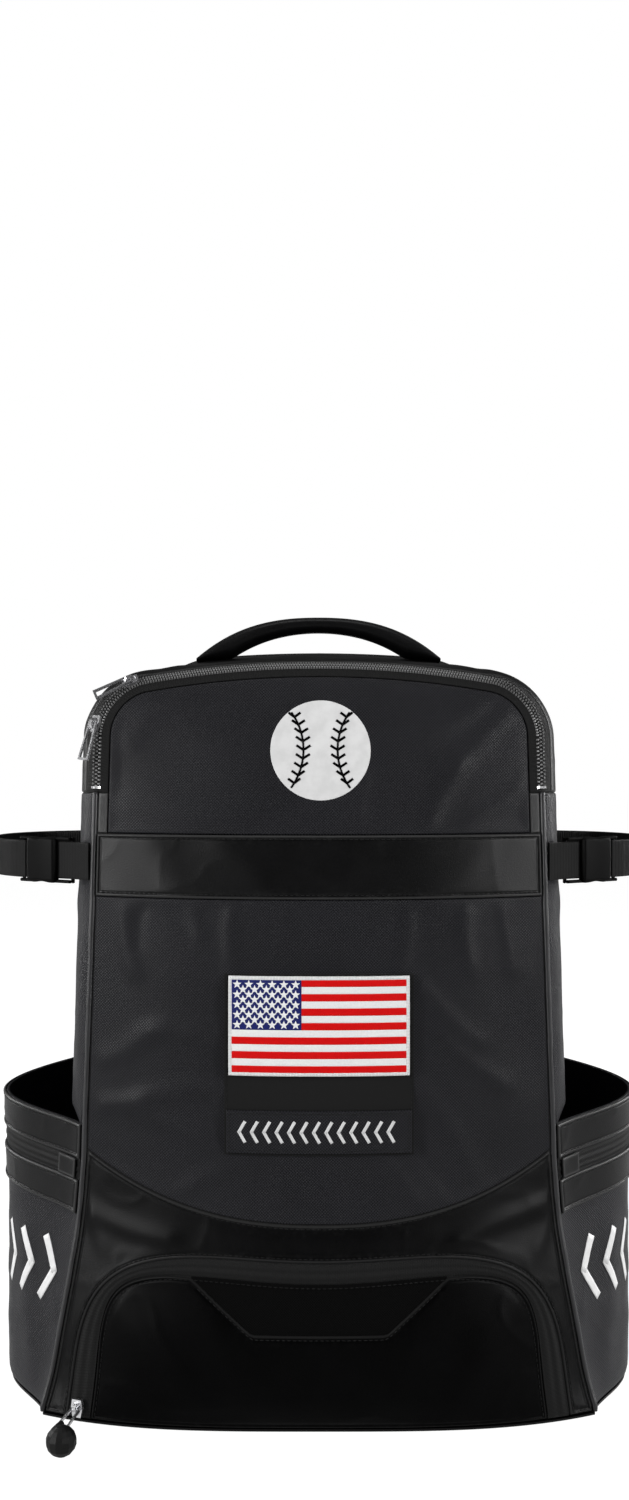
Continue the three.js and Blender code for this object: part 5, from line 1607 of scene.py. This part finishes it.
def make_flag():
    half = FLAG["half_width"]
    bottom, top = FLAG["bottom"], FLAG["top"]
    sew_patch("flag_ground", FLAG, WHITE, "flag_thread", ["flag_patch"], lift=FLAG_LIFT - 0.4,
              thickness=FLAG["thickness"] - 0.4, roll=0.4, step=2.4)
    margin = FLAG_BORDER * 0.8
    x0, x1 = -half + margin, half - margin
    z0, z1 = bottom + margin, top - margin
    canton_x = mix(x0, x1, CANTON_SHARE)
    canton_z = mix(z1, z0, CANTON_STRIPES / STRIPES)
    for k in range(STRIPES):
        high, low = mix(z1, z0, k / STRIPES), mix(z1, z0, (k + 1) / STRIPES)
        start = canton_x if k < CANTON_STRIPES else x0
        red = k % 2 == 0
        flag_bar("flag_stripe_%02d" % (k + 1), (start, x1), (low, high), 0.12 if red else 0.0,
                 RED if red else WHITE)
    flag_bar("flag_canton", (x0, canton_x), (canton_z, z1), 0.05, BLUE)
    make_stars(x0, canton_x, canton_z, z1, FLAG_LIFT + 0.1)
    inset = FLAG_BORDER / 2
    corners = [(-half + inset, bottom + inset), (half - inset, bottom + inset),
               (half - inset, top - inset), (-half + inset, top - inset)]
    radius = 1.6
    path = []
    for k, (x, z) in enumerate(corners):
        middle = (x - np.sign(x) * radius, z + (radius if k < 2 else -radius))
        for angle in np.linspace(-math.pi + k * math.pi / 2, -math.pi / 2 + k * math.pi / 2, 5):
            path.append((middle[0] + radius * math.cos(angle), middle[1] + radius * math.sin(angle)))
    path = np.array(path + path[:1])
    step, stitch = 0.45, 0.9
    line = resample(stack(path[:, 0], 0.0, path[:, 1]), step)
    points = front_point(line[:, 0], line[:, 2])
    points += front_normal(points) * (FLAG_LIFT - 0.35)
    ridge = 1 + 0.1 * np.sin(np.arange(len(points)) * 2 * math.pi * step / stitch)
    sweep("flag_border", points, (0, 1, 0), ring(0.75, FLAG_BORDER / 2, 10, 2.6), BORDER,
          wide=ridge, deep=ridge)


make_field()
make_flag()


# Plain printed marks: a ball with its seams on the top panel, and rows of seam stitches.
MOTIF_CENTRE = (1.0, 420.0)
MOTIF_RADIUS = 31.5
SEAM_CENTRE = 1.62
SEAM_RADIUS = 1.28
SEAM_SWING = 0.63
SEAM_TICKS = 9


def front_print(x, z):
    """Points of the folded front cloth and their normals."""
    base = front_point(x, z)
    normal = front_normal(base)
    return base + normal * front_relief(base, None)[..., None], normal


def patch_print(x, z):
    base = front_point(x, z)
    normal = front_normal(base)
    return base + normal * PATCH_LIFT, normal


def sleeve_print(side):
    """The same for a sleeve's outer wall, from a distance behind the front seam and a height."""
    def place(run, z):
        depth = POCKET_START + run / POCKET_WALL_RUN
        ahead = pocket_point(side, depth + 0.004, z) - pocket_point(side, depth - 0.004, z)
        rising = pocket_point(side, depth, z + 0.5) - pocket_point(side, depth, z - 0.5)
        normal = unit(np.cross(ahead, rising))
        normal *= np.sign(normal[..., :1] * side)
        base = pocket_point(side, depth, z)
        return base + normal * pocket_relief(base, None)[..., None], normal
    return place


def print_lines(name, runs, place, lift, look):
    """Flat printed lines, each a path in the print's own plane and a width."""
    points, faces, start = [], [], 0
    columns, thickness = 5, 0.25
    for path, width in runs:
        along = unit(np.gradient(path, axis=0))
        side = np.stack([-along[:, 1], along[:, 0]], axis=1)
        across = np.linspace(-0.5, 0.5, columns)[None, :, None] * width
        flat = path[:, None] + side[:, None] * across
        base, normal = place(flat[..., 0], flat[..., 1])
        outer = base + normal * lift
        points += [outer.reshape(-1, 3), (outer - normal * thickness).reshape(-1, 3)]
        faces.append(slab_faces(len(path), columns) + start)
        start += 2 * len(path) * columns
    points = np.concatenate(points)
    make_piece(name, points, np.concatenate(faces), look, weave=points[:, [0, 2]])


def make_motif():
    cx, cz = MOTIF_CENTRE

    def disc(u, v):
        a, b = 2 * u - 1, 2 * v - 1
        x = cx + MOTIF_RADIUS * a * np.sqrt(1 - b * b / 2)
        z = cz + MOTIF_RADIUS * b * np.sqrt(1 - a * a / 2)
        return front_print(x, z)[0]
    sew("printed_ball", disc, (2 * MOTIF_RADIUS, 2 * MOTIF_RADIUS), PRINT, "flag_thread", lift=0.3,
        thickness=0.5, roll=0.25, step=1.5, **FACE)
    runs = []
    for side in (-1, 1):
        def seam(turn, side=side):
            x = side * MOTIF_RADIUS * (SEAM_CENTRE - SEAM_RADIUS * np.cos(turn))
            return np.stack([cx + x, cz + MOTIF_RADIUS * SEAM_RADIUS * np.sin(turn)], axis=-1)
        runs.append((seam(np.linspace(-SEAM_SWING, SEAM_SWING, 60)), 1.2))
        for turn in np.linspace(-0.86 * SEAM_SWING, 0.86 * SEAM_SWING, SEAM_TICKS):
            foot = seam(np.array(turn))
            for lean in (-1, 1):
                tip = foot + np.array([lean * side * 4.4 * math.cos(turn), 2.8])
                runs.append((np.linspace(foot, tip, 6), 1.5))
    print_lines("printed_seams", runs, front_print, 0.5, SHADED_SATIN)


def stitch_row(places, middle, reach, rise, width):
    """A row of pointed seam stitches, two lines each."""
    runs = []
    for x in places:
        for lean in (-1, 1):
            way = np.array([reach, lean * rise])
            foot = np.array([x, middle]) - way / np.linalg.norm(way) * width * 0.25
            runs.append((np.linspace(foot, foot + way, 8), width))
    return runs


def make_seam_rows():
    row = stitch_row(np.arange(-49, 49, 7.6), middle=184.8, reach=4.0, rise=7.0, width=1.9)
    print_lines("printed_stitches", row, patch_print, 0.1, PRINT)
    for name, side in SIDES:
        row = stitch_row(np.arange(20, 190, 24.0), middle=84.0, reach=13.0, rise=21.0, width=6.0)
        print_lines("printed_sleeve_stitches_" + name, row, sleeve_print(side), 0.3, PRINT)


make_motif()
make_seam_rows()


# Bat straps and their buckles.
def bat_strap_path(side):
    out = np.array(BAT_STRAP_LINE["out"])
    depth = np.array(BAT_STRAP_LINE["depth"])
    seam = float(seam_half_width(BAT_STRAP_HEIGHT))
    front = float(front_y(seam, BAT_STRAP_HEIGHT)) + PIPING_RADIUS
    start = seam + PIPING_CLEAR + WEBBING_THICKNESS / 2
    x = mix(start, BAT_STRAP_REACH, out)
    y = mix(front, back_y(BAT_STRAP_HEIGHT), depth)
    return catmull(stack(side * x, y, BAT_STRAP_HEIGHT), 600)


RIB_PITCH = 1.35
BODY_START = 0.21
BODY_END = 0.88
# The open frame at each end of a buckle: where its rails start and end, and where its bar lies.
BUCKLE_FRAMES = (
    ("inner", -3.0, 11.0, -3.0),
    ("outer", BUCKLE_LENGTH - 8.0, BUCKLE_LENGTH + 2.6, BUCKLE_LENGTH + 2.6),
)


def pillow(name, centre, along, across, size, look, stands_for, pinch):
    """A rounded plate like a moulded buckle half, pinched at its waist."""
    length, width, height = size
    nu, nv = 48, 32
    ga, gw = np.meshgrid(np.linspace(-1, 1, nu), np.linspace(-1, 1, nv), indexing="ij")
    corner = 1 - 0.035 * np.abs(gw) ** 6
    waist = 1 - pinch * hump(ga, 0.1, 0.38)
    la = ga * corner * length / 2
    lw = gw * waist * (1 - 0.05 * np.abs(ga) ** 8) * width / 2
    edge = np.minimum(1 - np.abs(ga), 1 - np.abs(gw))
    rim = np.clip(edge / 0.14, 0, 1)
    dome = 1 - 0.35 * (0.5 * ga ** 2 + 0.2 * gw ** 2)
    high = height / 2 * np.sqrt(1 - (1 - rim) ** 2) * dome
    out = np.cross(along, across)
    flat = centre + la[..., None] * along + lw[..., None] * across
    layers = [flat + share * high[..., None] * out for share in (1.0, -0.8)]
    make_piece(name, layers, slab_faces(nu, nv), look, stands_for)


def make_buckle(name, first, along, up, outward):
    """A buckle body between two open frames of rails and bars, from its first end along a line."""
    body = BUCKLE_LENGTH * (BODY_END - BODY_START)
    middle = first + along * BUCKLE_LENGTH * (BODY_START + BODY_END) / 2
    pillow("buckle_body_" + name, middle + outward * 1.2, along, up, (body, BUCKLE_WIDTH, 9.5),
           PLASTIC, ["bat_buckle_" + name], pinch=0.05)
    rail = BUCKLE_WIDTH / 2 - 1.3
    for end_name, low, high, bar_at in BUCKLE_FRAMES:
        for edge_name, sign in (("top", 1), ("foot", -1)):
            line = first + up * sign * rail + along * np.linspace(low, high, 14)[:, None]
            sweep("buckle_rail_%s_%s_%s" % (end_name, edge_name, name), line + outward * 0.6, up,
                  ring(1.1, 1.7, 10, 2.6), PLASTIC, cap_round=0.5)
        bar = first + along * bar_at + up * np.linspace(-rail - 0.8, rail + 0.8, 14)[:, None]
        sweep("buckle_bar_%s_%s" % (end_name, name), bar - outward * 1.9, along, ring(1.4, 1.0, 10),
              PLASTIC, cap_round=0.5)


def ribbed(path):
    return 1 + 0.16 * np.cos(np.arange(len(path)) * math.pi / 2)


def make_bat_straps():
    up = np.array([0.0, 0, 1])
    section = tape_section(WEBBING_WIDTH, WEBBING_THICKNESS)
    seam = float(seam_half_width(BAT_STRAP_HEIGHT))
    start_x = mix(seam + PIPING_CLEAR + WEBBING_THICKNESS / 2, BAT_STRAP_REACH, BUCKLE_PLACE)
    for name, side in SIDES:
        path = bat_strap_path(side)
        run = run_along(path)
        begin = run[np.argmax(np.abs(path[:, 0]) >= start_x)]
        end = begin + BUCKLE_LENGTH
        front_end = begin + BODY_START * BUCKLE_LENGTH + 1.5
        rear_start = end - (1 - BODY_END) * BUCKLE_LENGTH - 1.5
        front = values_at(np.arange(0, front_end, RIB_PITCH / 4), run, path)
        rear = values_at(np.arange(rear_start, run[-1], 1.5), run, path)
        tail = values_at(np.arange(end - 2.4, end + 30, RIB_PITCH / 4), run, path)
        out = sweep_frames(tail, up)[2]
        tail = tail + out * np.sign(out[:, 0].mean() * side) * (WEBBING_THICKNESS + 0.4)
        sweep("webbing_front_" + name, front, up, section, WEBBING,
              ["bat_strap_front_" + name], deep=ribbed(front))
        sweep("webbing_rear_" + name, rear, up, section, WEBBING,
              ["bat_strap_rear_" + name])
        sweep("webbing_tail_" + name, tail, up, section, WEBBING, deep=ribbed(tail))
        first, last = values_at(np.array([begin, end]), run, path)
        along = unit(last - first)
        outward = np.cross(along, up)
        facing = np.sign(outward[0] * side)
        make_buckle(name, first, along, up * facing, outward * facing)


make_bat_straps()


# The haul handle.
def top_height(x, depth):
    low, high = np.zeros_like(x), np.full_like(x, CORNER_SHARE)
    for _ in range(40):
        middle = (low + high) / 2
        short = gusset_point(middle, depth)[..., 0] < np.abs(x)
        low, high = np.where(short, middle, low), np.where(short, high, middle)
    return gusset_point(low, depth)[..., 2]


def make_handle():
    t = np.sin(math.pi * (np.linspace(0, 1, 90) - 0.5))
    x = HANDLE_HALF_SPAN * t
    y = float(gusset_point(0.0, HANDLE_DEPTH_SHARE)[1])
    spread = HANDLE_FOOT_SHARE * float(depth_share(0.0, HANDLE_WIDTH))
    floor = 0.5 * GAP + np.maximum(top_height(x, HANDLE_DEPTH_SHARE - spread),
                                   top_height(x, HANDLE_DEPTH_SHARE + spread))
    outside = mix(HANDLE_TOP, floor + HANDLE_END_THICKNESS, np.abs(t) ** HANDLE_POWER)
    arch = np.minimum(1, np.abs(x) / HANDLE_INNER_HALF_SPAN)
    inside = np.maximum(floor, mix(HANDLE_TOP - HANDLE_THICKNESS, floor, arch ** 2))
    path = stack(x, y, (outside + inside) / 2)
    section = ring(HANDLE_WIDTH / 2, HANDLE_THICKNESS / 2, 28, 2.5)
    deep = (outside - inside) / HANDLE_THICKNESS
    rings = path[:, None] + stack(0.0, section[:, 0], section[:, 1] * deep[:, None])
    handle = tube("padded_handle", rings, [path[0], path[-1]], path, section, SATIN,
                  ["haul_handle"])


make_handle()


# Stitching along the front band, the yoke seam, the shoe arches, the vent edge, the patches and the
# sleeve bands, most of it this far inside the edge.
SEAM_INSET = 2.6


def make_stitches():
    front = Stitches()
    share = np.linspace(-0.985, 0.985, 200)
    rows = []
    for z in (BAND_TOP - SEAM_INSET, BAND_BOTTOM + SEAM_INSET):
        half = seam_half_width(z) - PIPING_CLEAR - 1.5
        rows.append((front_point(share * half, z + 0 * share), BAND_RAISE + 0.05))
    z = yoke_seam(share) - SEAM_INSET
    rows.append((front_point(share * (seam_half_width(z) - PIPING_CLEAR - 2), z), 0.05))
    turn = np.linspace(-0.97, 0.97, 400)
    rows.append((front_point(*outer_arch(turn, SEAM_INSET)), 0.1))
    rows.append((front_point(*inner_arch(turn, -2.4)), 0.1))
    x = np.linspace(-VENT_TOP_HALF_WIDTH + 4, VENT_TOP_HALF_WIDTH - 4, 200)
    rows.append((front_point(x, vent_edge(x) - SEAM_INSET), 0.1))
    for shape, lift, inset in ((FIELD, FIELD_LIFT, 1.6), (LOWER_PATCH, PATCH_LIFT, 2.0)):
        half, bottom, top = shape["half_width"] - inset, shape["bottom"] + inset, shape["top"] - inset
        corners = np.array([(-half, bottom), (half, bottom), (half, top), (-half, top), (-half, bottom)])
        line = resample(stack(corners[:, 0], 0.0, corners[:, 1]), 1.0)
        rows.append((front_point(line[:, 0], line[:, 2]), lift))
    for path, lift in rows:
        front.run(path, front_normal(path), lift)
    front.make("stitches_front", THREAD)
    for name, side in SIDES:
        sleeve = Stitches()
        depth = np.linspace(POCKET_START + 0.03, POCKET_END - 0.03, 300)
        for height, offset in ((band_top, -2.4), (zip_top, 2.2), (zip_foot, -2.2), (band_foot, 2.2)):
            z = height(depth) + offset
            path = pocket_point(side, depth, z)
            ahead = pocket_point(side, depth + 0.002, z)
            normal = unit(np.cross(ahead - path, np.array([0, 0, 1.0])))
            normal *= np.sign((normal[:, 0] * side).mean())
            sleeve.run(path, normal, GAP + SKIN + 0.05)
        sleeve.make("stitches_sleeve_" + name, THREAD)


make_stitches()


# Shoulder straps.
def strap_line(side):
    t = np.linspace(0, 1, 90)
    z = mix(STRAP_TOP, STRAP_END, t)
    spread = mix(STRAP_TOP_SPREAD, STRAP_END_SPREAD, t * t)
    rest = back_y(z) + BACK_PADDING / 2 + STRAP_THICKNESS / 2 + GAP
    lean = np.sin(math.pi * np.minimum(1, BOW_START + BOW_RUN * t))
    bow = STRAP_BOW * (lean - lean[0])
    wide = mix(STRAP_NARROW, 1, np.sin(math.pi * np.minimum(1, WIDE_START + WIDE_RUN * t)))
    return stack(side * spread, rest + bow, z), wide


def make_shoulder_straps():
    for name, side in SIDES:
        path, wide = strap_line(side)
        section = ring(STRAP_WIDTH / 2, STRAP_THICKNESS / 2, 40, 3.4)
        pad = sweep("padded_strap_" + name, path, (1, 0, 0), section, PADDED,
                    ["shoulder_strap_" + name], wide=wide)
        _, across, out = sweep_frames(path, (1, 0, 0))
        runner = path + out * np.sign(out[:, 1].mean()) * (STRAP_THICKNESS / 2 + 0.6)
        sweep("strap_runner_" + name, runner[3:-2], (1, 0, 0), tape_section(WEBBING_WIDTH, 1.5),
              WEBBING)
        half = (wide * STRAP_WIDTH / 2)[:, None]
        for number, way in ((1, 1), (2, -1)):
            sweep("strap_edge_%s_%d" % (name, number), path + way * across * half, (1, 0, 0),
                  ring(1.6, 2.4, 10), WEBBING, cap_round=0.6)


make_shoulder_straps()


# Nodes whose solid shape is right keep it, with a finish of their own.
def dress(node, look, width=0.25):
    solid = bpy.data.objects[node]
    for slot in solid.material_slots:
        slot.material = look
    if width:
        rounding = solid.modifiers.new("rounding", "BEVEL")
        rounding.width = width * MM
        rounding.segments = 2
        rounding.limit_method = "ANGLE"
        rounding.angle_limit = math.radians(35)


for label in ("main_zip_lower", "main_zip_upper", "shoe_zip"):
    dress(label + "_slider", METAL)
    dress(label + "_pull", METAL, 0.35)
dress("ball_pull", RUBBER, 0.0)
for name in ("left", "right"):
    dress("strap_ladderlock_" + name, PLASTIC, 0.7)
    dress("strap_webbing_" + name, WEBBING, 0.3)
